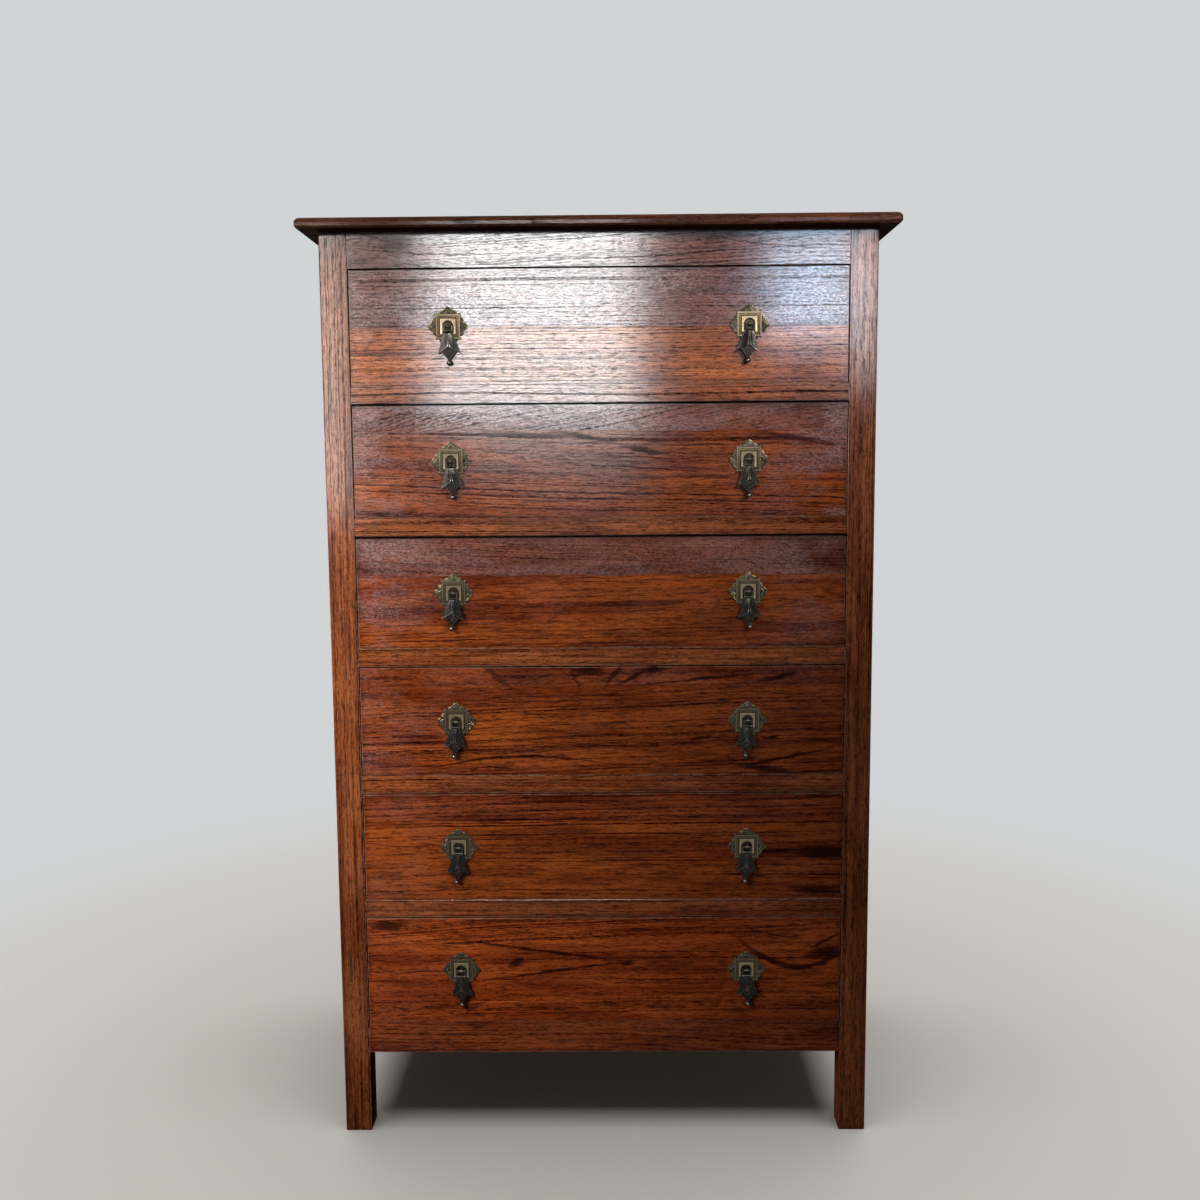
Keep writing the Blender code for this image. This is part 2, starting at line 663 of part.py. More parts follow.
def pendant(name):
    """A ring that hangs on its pin, a ridged gable, a diamond and a ball."""
    depth = around(0, RING_THICKNESS)
    ring = box(around(0, RING_WIDTH), depth, (-RING_FOOT, RING_TOP))
    window = box(around(0, WINDOW_WIDTH), grown(depth, PAST), (-WINDOW_DROP, RING_TOP + PAST))
    pin = rod(PIN_RADIUS, around(0, WINDOW_WIDTH + 2 * OVERLAP), "X", 8)
    back = PIN_REACH - GABLE_BACK
    ridge_half = RIDGE_WIDTH / 2
    eaves_half = GABLE_WIDTH / 2
    ridge = PIN_REACH - RIDGE_REACH
    eaves = PIN_REACH - EAVES_REACH
    slope = (eaves - ridge) / (eaves_half - ridge_half)
    far = eaves_half + PAST
    far_reach = eaves + slope * PAST
    slopes = [(far, far_reach), (ridge_half, ridge), (-ridge_half, ridge), (-far, far_reach)]
    roof = [(-far, back), (far, back), *slopes]
    roof_bar = prism(roof, (-GABLE_DROP - PAST, -NECK_TOP + PAST), "Z")
    gable = prism(gable_outline(), (back + PAST, ridge - PAST), "Y")
    gable_mesh = combine("gable", gable, [("INTERSECT", roof_bar)])
    gable_shape = bmesh.new()
    gable_shape.from_mesh(gable_mesh)
    bpy.data.meshes.remove(gable_mesh)
    half = DIAMOND_WIDTH / 2
    corners = [(0, -DIAMOND_TOP), (-half, -DIAMOND_SHOULDER), (0, -DIAMOND_TIP), (half, -DIAMOND_SHOULDER)]
    diamond = prism(corners, (PIN_REACH - DIAMOND_BACK, PIN_REACH - DIAMOND_REACH), "Y")
    ball = bmesh.new()
    stretch = Matrix.Diagonal((1, 1, BALL_HEIGHT / (2 * BALL_RADIUS), 1))
    place = Matrix.Translation((0, 0, -BALL_CENTRE))
    bmesh.ops.create_uvsphere(ball, u_segments=10, v_segments=6, radius=BALL_RADIUS, matrix=place @ stretch)
    steps = cut(window) + join(pin, gable_shape, diamond, ball)
    return combine(name, ring, steps)


# Materials
def finish(name, colour, roughness, metallic=0.0):
    """A Principled material with a plain colour, roughness and metallic value."""
    made = bpy.data.materials.new(name)
    made.use_nodes = True
    shader = made.node_tree.nodes["Principled BSDF"]
    shader.inputs["Base Color"].default_value = (*colour, 1)
    shader.inputs["Roughness"].default_value = roughness
    shader.inputs["Metallic"].default_value = metallic
    made.diffuse_color = (*colour, 1)
    return made


def empty(name, location, parent):
    made = bpy.data.objects.new(name, None)
    made.empty_display_size = POST_WIDTH
    made.location = location
    made.parent = parent
    bpy.context.scene.collection.objects.link(made)
    return made


def place(name, mesh, material, parent, location=(0, 0, 0)):
    """Puts a mesh in the scene under its parent, with its material."""
    if not mesh.materials:
        mesh.materials.append(material)
    made = bpy.data.objects.new(name, mesh)
    made.location = location
    made.parent = parent
    bpy.context.scene.collection.objects.link(made)
    return made


def rounded(mesh):
    """Shades a turned or cast piece smooth between its sharp edges."""
    mesh.shade_smooth()
    mesh.set_sharp_from_angle(angle=math.radians(35))
    return mesh


def build_carcass(parent, wood, sheet):
    place("top_board", top_board("top_board"), wood["case"], parent)
    for word, side in SIDES:
        place(f"front_post_{word}", front_post("front_post", side), wood["case"], parent)
        place(f"back_post_{word}", back_post("back_post", side), wood["case"], parent)
        place(f"side_panel_{word}", side_panel("side_panel", side), sheet, parent)
    frieze = front_rail("frieze_rail", FRIEZE_THICKNESS, FRIEZE_SPAN, frieze_tenon())
    place("frieze_rail", frieze, wood["case"], parent)
    apron = front_rail("apron_rail", FRONT_RAIL_DEPTH, APRON_SPAN, apron_tenon(), stops(LOWEST_FLOOR))
    place("apron_rail", apron, wood["case"], parent)
    frame = drawer_frame("drawer_frame")
    for number, level in enumerate(divider_levels(), 1):
        place(f"drawer_frame_{number}", frame, wood["case"], parent, (0, 0, level))
    place("bottom_frame", bottom_frame("bottom_frame"), wood["case"], parent)
    place("top_frame", top_frame("top_frame"), wood["case"], parent)
    place("back_panel", back_panel("back_panel"), sheet, parent)


def build_drawers(parent, wood, sheet, brass, bronze):
    front = drawer_front("drawer_front")
    sides = drawer_box("drawer_box")
    bottom = drawer_bottom("drawer_bottom")
    plate = rounded(pull_plate("pull_plate"))
    hanging = rounded(pendant("pendant"))
    for number in range(1, DRAWER_COUNT + 1):
        drawer = empty(f"drawer_{number}_slide", (0, FRONT, opening_floor(number)), parent)
        place(f"drawer_{number}_front", front, wood["front"], drawer)
        place(f"drawer_{number}_box", sides, wood["lining"], drawer)
        place(f"drawer_{number}_bottom", bottom, sheet, drawer)
        for word, side in SIDES:
            x = side * PULL_SPACING / 2
            place(f"pull_plate_{number}_{word}", plate, brass, drawer, (x, 0, PULL_HEIGHT))
            place(f"pendant_{number}_{word}", hanging, bronze, drawer, (x, -PIN_REACH, PULL_HEIGHT))


def main():
    for old in list(bpy.data.objects):
        bpy.data.objects.remove(old)
    wood = {
        "case": finish("dark_oak", (0.105, 0.042, 0.024), 0.32),
        "front": finish("drawer_oak", (0.150, 0.058, 0.032), 0.30),
        "lining": finish("drawer_lining", (0.300, 0.170, 0.085), 0.60),
    }
    sheet = finish("oak_plywood", (0.210, 0.110, 0.055), 0.55)
    brass = finish("antique_brass", (0.300, 0.235, 0.120), 0.38, 1.0)
    bronze = finish("dark_bronze", (0.070, 0.062, 0.055), 0.36, 1.0)
    tallboy = empty("tallboy", (0, 0, 0), None)
    build_carcass(tallboy, wood, sheet)
    build_drawers(tallboy, wood, sheet, brass, bronze)


main()
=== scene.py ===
"""The finish of the tallboy: stained oak, cast brass pulls, a pale studio and the camera.

Metres, +Z up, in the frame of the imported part. The front faces -Y, and drawers are numbered from the top.
"""

import json
import math
from collections import namedtuple

import bmesh
import bpy
from mathutils import Matrix, Vector


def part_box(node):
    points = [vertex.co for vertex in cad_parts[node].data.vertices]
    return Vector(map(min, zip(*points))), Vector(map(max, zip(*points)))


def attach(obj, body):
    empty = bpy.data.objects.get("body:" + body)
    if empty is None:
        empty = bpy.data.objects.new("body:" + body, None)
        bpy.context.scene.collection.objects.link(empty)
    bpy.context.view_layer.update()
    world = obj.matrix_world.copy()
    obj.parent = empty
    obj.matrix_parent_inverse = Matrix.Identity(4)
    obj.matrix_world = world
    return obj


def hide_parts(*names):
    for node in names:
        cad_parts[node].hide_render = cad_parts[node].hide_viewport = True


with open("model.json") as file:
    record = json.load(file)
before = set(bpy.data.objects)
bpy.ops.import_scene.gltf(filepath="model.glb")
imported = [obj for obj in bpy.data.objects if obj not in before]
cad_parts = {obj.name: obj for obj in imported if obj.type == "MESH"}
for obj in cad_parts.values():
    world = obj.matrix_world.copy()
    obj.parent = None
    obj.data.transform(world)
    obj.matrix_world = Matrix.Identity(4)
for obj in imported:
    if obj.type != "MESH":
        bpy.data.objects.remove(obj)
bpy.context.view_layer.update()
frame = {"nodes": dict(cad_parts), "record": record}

# Sizes that the finish follows
DRAWERS = range(1, 7)
SIDES = (("left", -1), ("right", 1))
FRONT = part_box("drawer_1_front")[0].y
OPENING_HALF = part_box("front_post_right")[0].x
RAIL_HEIGHT = 0.0254
RAIL_DEPTH = 0.050
BACK_BOARD = 0.0125
MM = 0.001


# Shader nodes
class Graph:
    """Adds nodes to a node tree and joins them up."""

    def __init__(self, tree):
        self.tree = tree

    def add(self, kind, values=None, **settings):
        made = self.tree.nodes.new(kind)
        for name, setting in settings.items():
            setattr(made, name, setting)
        for key, value in (values or {}).items():
            self.feed(made.inputs[key], value)
        return made

    def feed(self, socket, value):
        if isinstance(value, bpy.types.NodeSocket):
            self.tree.links.new(value, socket)
        else:
            socket.default_value = value

    def value(self, operation, *values, clamp=False):
        made = self.add("ShaderNodeMath", dict(enumerate(values)), operation=operation, use_clamp=clamp)
        return made.outputs[0]

    def times(self, *values):
        return self.value("MULTIPLY", *values)

    def less(self, *values, clamp=False):
        return self.value("SUBTRACT", *values, clamp=clamp)

    def times_plus(self, *values, clamp=False):
        """The first two multiplied, and the third added."""
        return self.value("MULTIPLY_ADD", *values, clamp=clamp)

    def vector(self, operation, *values):
        made = self.add("ShaderNodeVectorMath", dict(enumerate(values)), operation=operation)
        return made.outputs[0]

    def scaled(self, vector, by):
        made = self.add("ShaderNodeVectorMath", {"Vector": vector, "Scale": by}, operation="SCALE")
        return made.outputs[0]

    def split(self, vector):
        return self.add("ShaderNodeSeparateXYZ", {0: vector}).outputs

    def join(self, x, y, z):
        return self.add("ShaderNodeCombineXYZ", {0: x, 1: y, 2: z}).outputs[0]

    def fade(self, value, start, end, low=0.0, high=1.0):
        """Goes smoothly from low to high as the value goes from start to end."""
        ends = {"Value": value, "From Min": start, "From Max": end, "To Min": low, "To Max": high}
        return self.add("ShaderNodeMapRange", ends, interpolation_type="SMOOTHSTEP").outputs[0]

    def between(self, share, first, second):
        """A number that goes from the first to the second as the share goes from 0 to 1."""
        return self.add("ShaderNodeMix", {0: share, 2: first, 3: second}, data_type="FLOAT").outputs[0]

    def blend(self, share, first, second, how="MIX"):
        """A colour mix."""
        values = {0: share, 6: first, 7: second}
        return self.add("ShaderNodeMix", values, data_type="RGBA", blend_type=how).outputs[2]

    def noise(self, place, detail=2.0, roughness=0.5):
        values = {"Vector": place, "Scale": 1.0, "Detail": detail, "Roughness": roughness}
        return self.add("ShaderNodeTexNoise", values).outputs

    def grain(self, place, stretch, seed, detail=2.0, roughness=0.5):
        """A noise that is stretched along the axes, and moved away by the seed."""
        moved = self.vector("MULTIPLY_ADD", place, stretch, self.scaled((3.7, 7.9, 5.3), seed))
        return self.noise(moved, detail, roughness)

    def use(self, group, **values):
        """Places a node group, with its inputs named in lower case and underlines."""
        made = self.add("ShaderNodeGroup", node_tree=group)
        for name, value in values.items():
            self.feed(made.inputs[name.replace("_", " ").title()], value)
        return made.outputs


def new_group(name, inputs, outputs):
    """A node group with named sockets, and the graph, inputs and outputs to fill it with."""
    tree = bpy.data.node_groups.new(name, "ShaderNodeTree")
    for kind, labels in inputs.items():
        for label in labels:
            tree.interface.new_socket(name=label, in_out="INPUT", socket_type="NodeSocket" + kind)
    for kind, labels in outputs.items():
        for label in labels:
            tree.interface.new_socket(name=label, in_out="OUTPUT", socket_type="NodeSocket" + kind)
    given = tree.nodes.new("NodeGroupInput").outputs
    result = tree.nodes.new("NodeGroupOutput").inputs
    return tree, Graph(tree), given, result


# How far a ring wavers in metres, how often the rings grow wider or narrower, and by how much
RING_WAVER = 0.0034
WIDTH_CHANGES_PER_METRE = 75.0
WIDTH_CHANGE = 3.0

# How far early wood and fine streaks shift the stain from its late colour to its early one
EARLY_SHARE, STREAK_SHARE = 0.78, 0.46

# Tints, a greyish film that is partly varnish bloom and partly painted sheen, and dust over the stain, and
# the wood that wear lays bare
CLOUD_TINT = (0.40, 0.30, 0.34, 1)
RED_TINT = (0.58, 0.40, 0.36, 1)
FILM_AND_SHEEN_COLOUR = (0.156, 0.106, 0.105, 1)
WORN_COLOUR = (0.205, 0.112, 0.068, 1)
DUST_COLOUR = (0.200, 0.165, 0.130, 1)
DUST_SHARE = 0.12

# The varnish: its weight on dense wood and over open pores, and its roughness
COAT_ON_WOOD, COAT_ON_PORES, COAT_ROUGHNESS = 0.085, 0.002, 0.13


def make_rings():
    """Growth rings where a board's face cuts them, in metres along, up and into the board."""
    tree, graph, given, result = new_group(
        "Oak rings",
        {
            "Vector": ["Place"],
            "Float": ["Heart Height", "Heart Depth", "Climb", "Lean", "Ring Width", "Wander", "Seed"],
        },
        {"Float": ["Early"]},
    )
    place, seed = given["Place"], given["Seed"]
    x, y, z = graph.split(place)
    broad = graph.split(graph.grain(place, (1.7, 5.5, 5.5), seed, 2.0)[1])
    wobble = graph.grain(place, (26.0, 90.0, 90.0), seed, 4.0, 0.65)[0]
    swing = graph.times(given["Wander"], 2.0)
    height = graph.less(graph.less(y, given["Heart Height"]), graph.times(given["Climb"], x))
    height = graph.times_plus(graph.less(broad[0], 0.5), swing, height)
    depth = graph.value("ADD", z, given["Heart Depth"])
    depth = graph.times_plus(given["Lean"], x, depth)
    depth = graph.times_plus(graph.less(broad[1], 0.5), swing, depth)
    squares = graph.times_plus(depth, depth, graph.times(height, height))
    radius = graph.value("SQRT", squares)
    radius = graph.times_plus(graph.less(wobble, 0.5), RING_WAVER, radius)
    phase = graph.value("DIVIDE", radius, given["Ring Width"])
    uneven = graph.add(
        "ShaderNodeTexNoise",
        {"W": graph.times_plus(radius, WIDTH_CHANGES_PER_METRE, seed), "Scale": 1.0, "Detail": 2.0},
        noise_dimensions="1D",
    ).outputs[0]
    phase = graph.times_plus(uneven, WIDTH_CHANGE, phase)
    number = graph.value("FLOOR", phase)
    part = graph.less(phase, number)
    tone = graph.add(
        "ShaderNodeTexWhiteNoise", {"W": graph.value("ADD", number, seed)}, noise_dimensions="1D"
    ).outputs[0]
    early = graph.times(graph.fade(part, 0.0, 0.06), graph.fade(part, 0.16, 0.52, 1.0, 0.0))
    early = graph.times(early, graph.between(tone, 0.40, 1.0))
    patch = graph.grain(place, (3.4, 24.0, 24.0), graph.value("ADD", seed, 9.1), 3.0, 0.55)[0]
    graph.feed(result["Early"], graph.times(early, graph.fade(patch, 0.36, 0.57, 0.48)))
    return tree


def make_pores():
    """Open pores as dashes along the grain, close together in the early wood."""
    tree, graph, given, result = new_group(
        "Oak pores",
        {"Vector": ["Place"], "Float": ["Early", "Dash", "Seed"]},
        {"Float": ["Pores", "Relief"]},
    )
    place, seed, early = given["Place"], given["Seed"], given["Early"]
    per_metre = graph.value("DIVIDE", 1.0, given["Dash"])
    dashes = graph.grain(place, graph.join(per_metre, 420.0, 420.0), seed, 3.0, 0.65)[0]
    hairs = graph.grain(place, (190.0, 1500.0, 1500.0), seed, 1.0)[0]
    dash = graph.times(graph.fade(dashes, 0.52, 0.59), graph.between(early, 0.55, 1.0))
    hair = graph.times(graph.fade(hairs, 0.53, 0.63), graph.between(early, 0.40, 1.0))
    pores = graph.value("MAXIMUM", dash, hair)
    fibres = graph.grain(place, (30.0, 900.0, 900.0), seed, 2.0)[0]
    graph.feed(result["Pores"], pores)
    graph.feed(result["Relief"], graph.less(graph.times(fibres, 0.35), pores))
    return tree


def make_stained():
    """Stain taken up by the rings and pores, with cloudy patches where it lies thicker, under a greyish
    film that is partly varnish bloom and partly painted sheen.
    """
    tree, graph, given, result = new_group(
        "Stained oak",
        {
            "Vector": ["Place"],
            "Float": ["Early", "Pores", "Clouds", "Bloom", "Seed"],
            "Color": ["Late Wood", "Early Wood", "Pore Stain"],
        },
        {"Color": ["Colour"], "Float": ["Cloud", "Speckle"]},
    )
    place, seed = given["Place"], given["Seed"]
    streaks = graph.grain(place, (9.0, 130.0, 130.0), seed, 4.0, 0.65)[0]
    cloud = graph.grain(place, (5.0, 14.0, 14.0), seed, 5.0, 0.62)[0]
    speckle = graph.grain(place, (240.0, 460.0, 460.0), seed, 3.0, 0.7)[0]
    speckle = graph.fade(speckle, 0.38, 0.64)
    bands = graph.times(given["Early"], EARLY_SHARE)
    bands = graph.times_plus(graph.fade(streaks, 0.45, 0.64), STREAK_SHARE, bands, clamp=True)
    colour = graph.blend(bands, given["Late Wood"], given["Early Wood"])
    colour = graph.blend(given["Pores"], colour, given["Pore Stain"])
    cloudy = graph.fade(cloud, 0.38, 0.66)
    dark = graph.blend(1.0, colour, CLOUD_TINT, "MULTIPLY")
    colour = graph.blend(graph.times(cloudy, given["Clouds"]), colour, dark)
    deep = graph.grain(place, (3.0, 34.0, 34.0), graph.value("ADD", seed, 5.9), 3.0, 0.6)[0]
    redder = graph.blend(1.0, colour, RED_TINT, "MULTIPLY")
    colour = graph.blend(graph.fade(deep, 0.44, 0.66, 0.0, 0.8), colour, redder)
    # A greyish film over the stain, partly varnish bloom and partly painted sheen
    film_and_sheen = graph.grain(place, (9.0, 16.0, 16.0), graph.value("ADD", seed, 2.3), 4.0, 0.62)[0]
    film_and_sheen = graph.times(graph.fade(film_and_sheen, 0.36, 0.62), given["Bloom"])
    film_and_sheen = graph.times(film_and_sheen, graph.between(speckle, 0.15, 1.0))
    film_and_sheen = graph.times(film_and_sheen, graph.between(given["Pores"], 1.0, 0.30))
    colour = graph.blend(film_and_sheen, colour, FILM_AND_SHEEN_COLOUR)
    graph.feed(result["Colour"], colour)
    graph.feed(result["Cloud"], cloudy)
    graph.feed(result["Speckle"], speckle)
    return tree


def make_edges():
    """Worn arrises and the grime beside them, from how near a place is to an edge of its box."""
    tree, graph, given, result = new_group(
        "Edges", {"Vector": ["Low", "High"], "Float": ["Wear", "Grime"]}, {"Float": ["Worn", "Grimy"]}
    )
    place = graph.add("ShaderNodeTexCoord").outputs["Object"]
    from_low = graph.vector("SUBTRACT", place, given["Low"])
    from_high = graph.vector("SUBTRACT", given["High"], place)
    inside = graph.vector("MINIMUM", from_low, from_high)
    x, y, z = graph.split(graph.vector("ABSOLUTE", inside))
    least = graph.value("MINIMUM", graph.value("MINIMUM", x, y), z)
    most = graph.value("MAXIMUM", graph.value("MAXIMUM", x, y), z)
    total = graph.value("ADD", graph.value("ADD", x, y), z)
    distance = graph.less(graph.less(total, least), most)
    chips = graph.noise(graph.scaled(place, 70.0), 4.0, 0.65)[0]
    ragged = graph.times(graph.fade(chips, 0.35, 0.70), given["Wear"])
    worn = graph.less(distance, graph.times(ragged, 1.6))
    worn = graph.fade(graph.value("DIVIDE", worn, given["Wear"]), -0.5, 0.3, 1.0, 0.0)
    grimy = graph.value("DIVIDE", distance, given["Grime"])
    grimy = graph.times(graph.fade(grimy, 0.0, 1.0, 1.0, 0.0), graph.fade(chips, 0.3, 0.6))
    graph.feed(result["Worn"], worn)
    graph.feed(result["Grimy"], grimy)
    return tree


def make_dust():
    """Dust on what faces up, in a thin uneven layer."""
    tree, graph, given, result = new_group("Dust", {"Float": ["Amount"]}, {"Float": ["Dust"]})
    facing = graph.split(graph.add("ShaderNodeNewGeometry").outputs["Normal"])[2]
    place = graph.add("ShaderNodeTexCoord").outputs["Object"]
    uneven = graph.noise(graph.scaled(place, 380.0), 4.0, 0.7)[0]
    layer = graph.times(graph.fade(facing, 0.45, 0.95), graph.fade(uneven, 0.3, 0.7, 0.5))
    graph.feed(result["Dust"], graph.times(layer, given["Amount"]))
    return tree


def make_streak():
    """A dark lens-shaped streak in the figure, which may slope and bend."""
    tree, graph, given, result = new_group(
        "Dark streak",
        {"Vector": ["Place", "Middle"], "Float": ["Half Length", "Half Height", "Slope", "Bend"]},
        {"Float": ["Streak"]},
    )
    x, y, _ = graph.split(graph.vector("SUBTRACT", given["Place"], given["Middle"]))
    along = graph.value("DIVIDE", x, given["Half Length"])
    square = graph.times(along, along)
    line = graph.times_plus(given["Slope"], x, graph.times(given["Bend"], square))
    off = graph.less(y, line)
    taper = graph.value("SQRT", graph.less(1.0, square, clamp=True))
    reach = graph.times_plus(taper, given["Half Height"], 0.00002)
    share = graph.value("DIVIDE", graph.value("ABSOLUTE", off), reach)
    graph.feed(result["Streak"], graph.times(graph.fade(share, 0.45, 1.25, 1.0, 0.0), taper))
    return tree


def new_material(name):
    """A material with nodes, its graph and its shader."""
    made = bpy.data.materials.new(name)
    made.use_nodes = True
    return made, Graph(made.node_tree), made.node_tree.nodes["Principled BSDF"]


RINGS = make_rings()
PORES = make_pores()
STAINED = make_stained()
EDGES = make_edges()
DUST = make_dust()
STREAK = make_streak()

# Oak
Stain = namedtuple("Stain", "late early pore")
Board = namedtuple("Board", "height depth climb lean ring wander dash stain")
Streak = namedtuple("Streak", "x y half_length half_height slope bend strength")

ORANGE = Stain((0.180, 0.040, 0.007, 1), (0.028, 0.003, 0.001, 1), (0.004, 0.001, 0.001, 1))
GOLDEN = Stain((0.160, 0.046, 0.013, 1), (0.031, 0.005, 0.001, 1), (0.005, 0.001, 0.001, 1))
HONEY = Stain((0.207, 0.060, 0.017, 1), (0.037, 0.007, 0.001, 1), (0.005, 0.001, 0.001, 1))
CHERRY = Stain((0.250, 0.052, 0.010, 1), (0.066, 0.010, 0.002, 1), (0.004, 0.001, 0.001, 1))
RED = Stain((0.168, 0.036, 0.008, 1), (0.034, 0.004, 0.001, 1), (0.004, 0.001, 0.001, 1))
PURPLE = Stain((0.127, 0.041, 0.023, 1), (0.040, 0.010, 0.005, 1), (0.007, 0.002, 0.001, 1))
DARK = Stain((0.085, 0.030, 0.013, 1), (0.030, 0.010, 0.005, 1), (0.008, 0.003, 0.002, 1))
AMBER = Stain((0.293, 0.083, 0.017, 1), (0.060, 0.011, 0.002, 1), (0.007, 0.002, 0.001, 1))
VENEER = Stain((0.175, 0.053, 0.017, 1), (0.087, 0.022, 0.006, 1), (0.018, 0.006, 0.003, 1))
BARE = Stain((0.458, 0.308, 0.167, 1), (0.352, 0.220, 0.110, 1), (0.176, 0.101, 0.053, 1))
PLY = Stain((0.208, 0.096, 0.044, 1), (0.136, 0.056, 0.026, 1), (0.056, 0.024, 0.013, 1))


def oak(
    name,
    grain,
    origin,
    box,
    boards,
    joint=None,
    seed=0.0,
    bare_from=None,
    streaks=(),
    clouds=0.6,
    bloom=(0.08,),
    sheen_haze=(),
    gap_shadow_height=None,
    shine=1.0,
    upper_shine=1.0,
    across_from=None,
):
    """A varnished oak finish for a piece, from its own origin and box.

    The grain names the axes along, up and into the board, such as xzy. Two boards, the lower one first,
    meet at the joint's height. Bloom and sheen is the greyish film on each board, partly varnish bloom and
    partly painted sheen, and sheen haze is the painted sheen that its two ends add. Deeper than bare_from
    the wood is raw. A dark line of painted gap shadow runs at the gap_shadow_height. Past across_from, a
    place along y, the grain runs along x.
    """
    made, graph, shader = new_material(name)
    object_place = graph.add("ShaderNodeTexCoord").outputs["Object"]
    moved = graph.split(graph.vector("SUBTRACT", object_place, origin))
    place = graph.join(*(moved["XYZ".index(axis.upper())] for axis in grain))
    if across_from is not None:
        cross = graph.value("GREATER_THAN", graph.split(object_place)[1], across_from)
        place = graph.blend(cross, place, graph.join(moved[0], moved[2], moved[1]))
    values = boards[0]._asdict()
    stain = values.pop("stain")
    film_and_sheen = bloom[0]
    board_seed = seed
    if len(boards) > 1:
        drift = graph.grain(place, (14.0, 0.0, 0.0), seed, 4.0, 0.6)[0]
        drift = graph.times_plus(drift, 0.012, graph.split(place)[1])
        step = graph.fade(drift, joint + 0.0055, joint + 0.0065)
        upper = boards[1]._asdict()
        values = {key: graph.between(step, value, upper[key]) for key, value in values.items()}
        board_seed = graph.times_plus(step, 4.7, seed)
        film_and_sheen = graph.between(step, *bloom)
        stain = Stain(*(graph.blend(step, low, high) for low, high in zip(stain, upper["stain"])))
    # Painted sheen: a greyish haze added towards the two ends of the front
    for side, share in zip((-1, 1), sheen_haze):
        across = graph.times(graph.split(place)[0], side)
        film_and_sheen = graph.value("ADD", graph.fade(across, 0.19, 0.32, 0.0, share), film_and_sheen)
    rings = graph.use(
        RINGS,
        place=place,
        heart_height=values["height"],
        heart_depth=values["depth"],
        climb=values["climb"],
        lean=values["lean"],
        ring_width=values["ring"],
        wander=values["wander"],
        seed=board_seed,
    )
    pores = graph.use(PORES, place=place, early=rings["Early"], dash=values["dash"], seed=board_seed)
    stained = graph.use(
        STAINED,
        place=place,
        early=rings["Early"],
        pores=pores["Pores"],
        clouds=clouds,
        bloom=film_and_sheen,
        seed=board_seed,
        late_wood=stain.late,
        early_wood=stain.early,
        pore_stain=stain.pore,
    )
    colour = stained["Colour"]
    if streaks:
        ragged = graph.grain(place, (45.0, 210.0, 210.0), seed, 4.0, 0.7)[1]
        ragged = graph.vector("SUBTRACT", ragged, (0.5, 0.5, 0.5))
        ragged = graph.vector("MULTIPLY_ADD", ragged, (0.022, 0.009, 0.0), place)
        shade = 0.0
        for streak in map(Streak._make, streaks):
            found = graph.use(
                STREAK,
                place=ragged,
                middle=(streak.x, streak.y, 0),
                half_length=streak.half_length,
                half_height=streak.half_height,
                slope=streak.slope,
                bend=streak.bend,
            )["Streak"]
            shade = graph.value("MAXIMUM", shade, graph.times(found, streak.strength))
        colour = graph.blend(graph.times(shade, 0.88), colour, stain.pore)
    gloss = graph.times_plus(stained["Cloud"], 0.12, 0.40)
    gloss = graph.times_plus(pores["Pores"], 0.30, gloss)
    edges = graph.use(EDGES, low=box[0], high=box[1], wear=0.0011, grime=0.009)
    colour = graph.blend(graph.times(edges["Grimy"], 0.42), colour, stain.pore)
    worn = graph.times(edges["Worn"], 0.45)
    colour = graph.blend(worn, colour, WORN_COLOUR)
    gloss = graph.times_plus(worn, 0.35, gloss)
    # Painted shadow: a dark line where the gap above a drawer front lies, at the gap_shadow_height
    if gap_shadow_height is not None:
        reach = graph.value("ABSOLUTE", graph.less(graph.split(place)[1], gap_shadow_height))
        colour = graph.blend(graph.fade(reach, 0.0007, 0.0014, 0.95, 0.0), colour, DARK.pore)
    if bare_from is not None:
        depth = graph.split(place)[2]
        smear = graph.grain(place, (60.0, 60.0, 60.0), seed, 4.0, 0.65)[0]
        depth = graph.times_plus(graph.less(smear, 0.5), -0.010, depth)
        bare = graph.fade(depth, bare_from, bare_from + 0.0025)
        raw = graph.blend(rings["Early"], BARE.late, BARE.early)
        raw = graph.blend(graph.times(pores["Pores"], 0.7), raw, BARE.pore)
        colour = graph.blend(bare, colour, raw)
        gloss = graph.between(bare, gloss, 0.72)
    dust = graph.use(DUST, amount=DUST_SHARE)["Dust"]
    colour = graph.blend(dust, colour, DUST_COLOUR)
    gloss = graph.between(dust, gloss, 0.85)
    graph.feed(shader.inputs["Base Color"], colour)
    graph.feed(shader.inputs["Roughness"], gloss)
    shader.inputs["Specular IOR Level"].default_value = 0.0
    shader.inputs["Coat Roughness"].default_value = COAT_ROUGHNESS
    hollow = graph.value("MAXIMUM", pores["Pores"], graph.fade(rings["Early"], 0.15, 0.90, 0.0, 0.70))
    if streaks:
        hollow = graph.value("MAXIMUM", hollow, graph.times(shade, 0.85))
    coat = graph.between(hollow, COAT_ON_WOOD, COAT_ON_PORES)
    coat = graph.times(coat, graph.between(stained["Speckle"], 0.55 * shine, shine))
    coat = graph.times(coat, graph.less(1.0, dust))
    if upper_shine != 1.0:
        coat = graph.times(coat, graph.between(step, 1.0, upper_shine))
    if bare_from is not None:
        coat = graph.times(coat, graph.less(1.0, bare))
    graph.feed(shader.inputs["Coat Weight"], coat)
    values = {"Strength": 0.55, "Distance": 0.6 * MM, "Height": pores["Relief"]}
    graph.feed(shader.inputs["Normal"], graph.add("ShaderNodeBump", values).outputs[0])
    return made


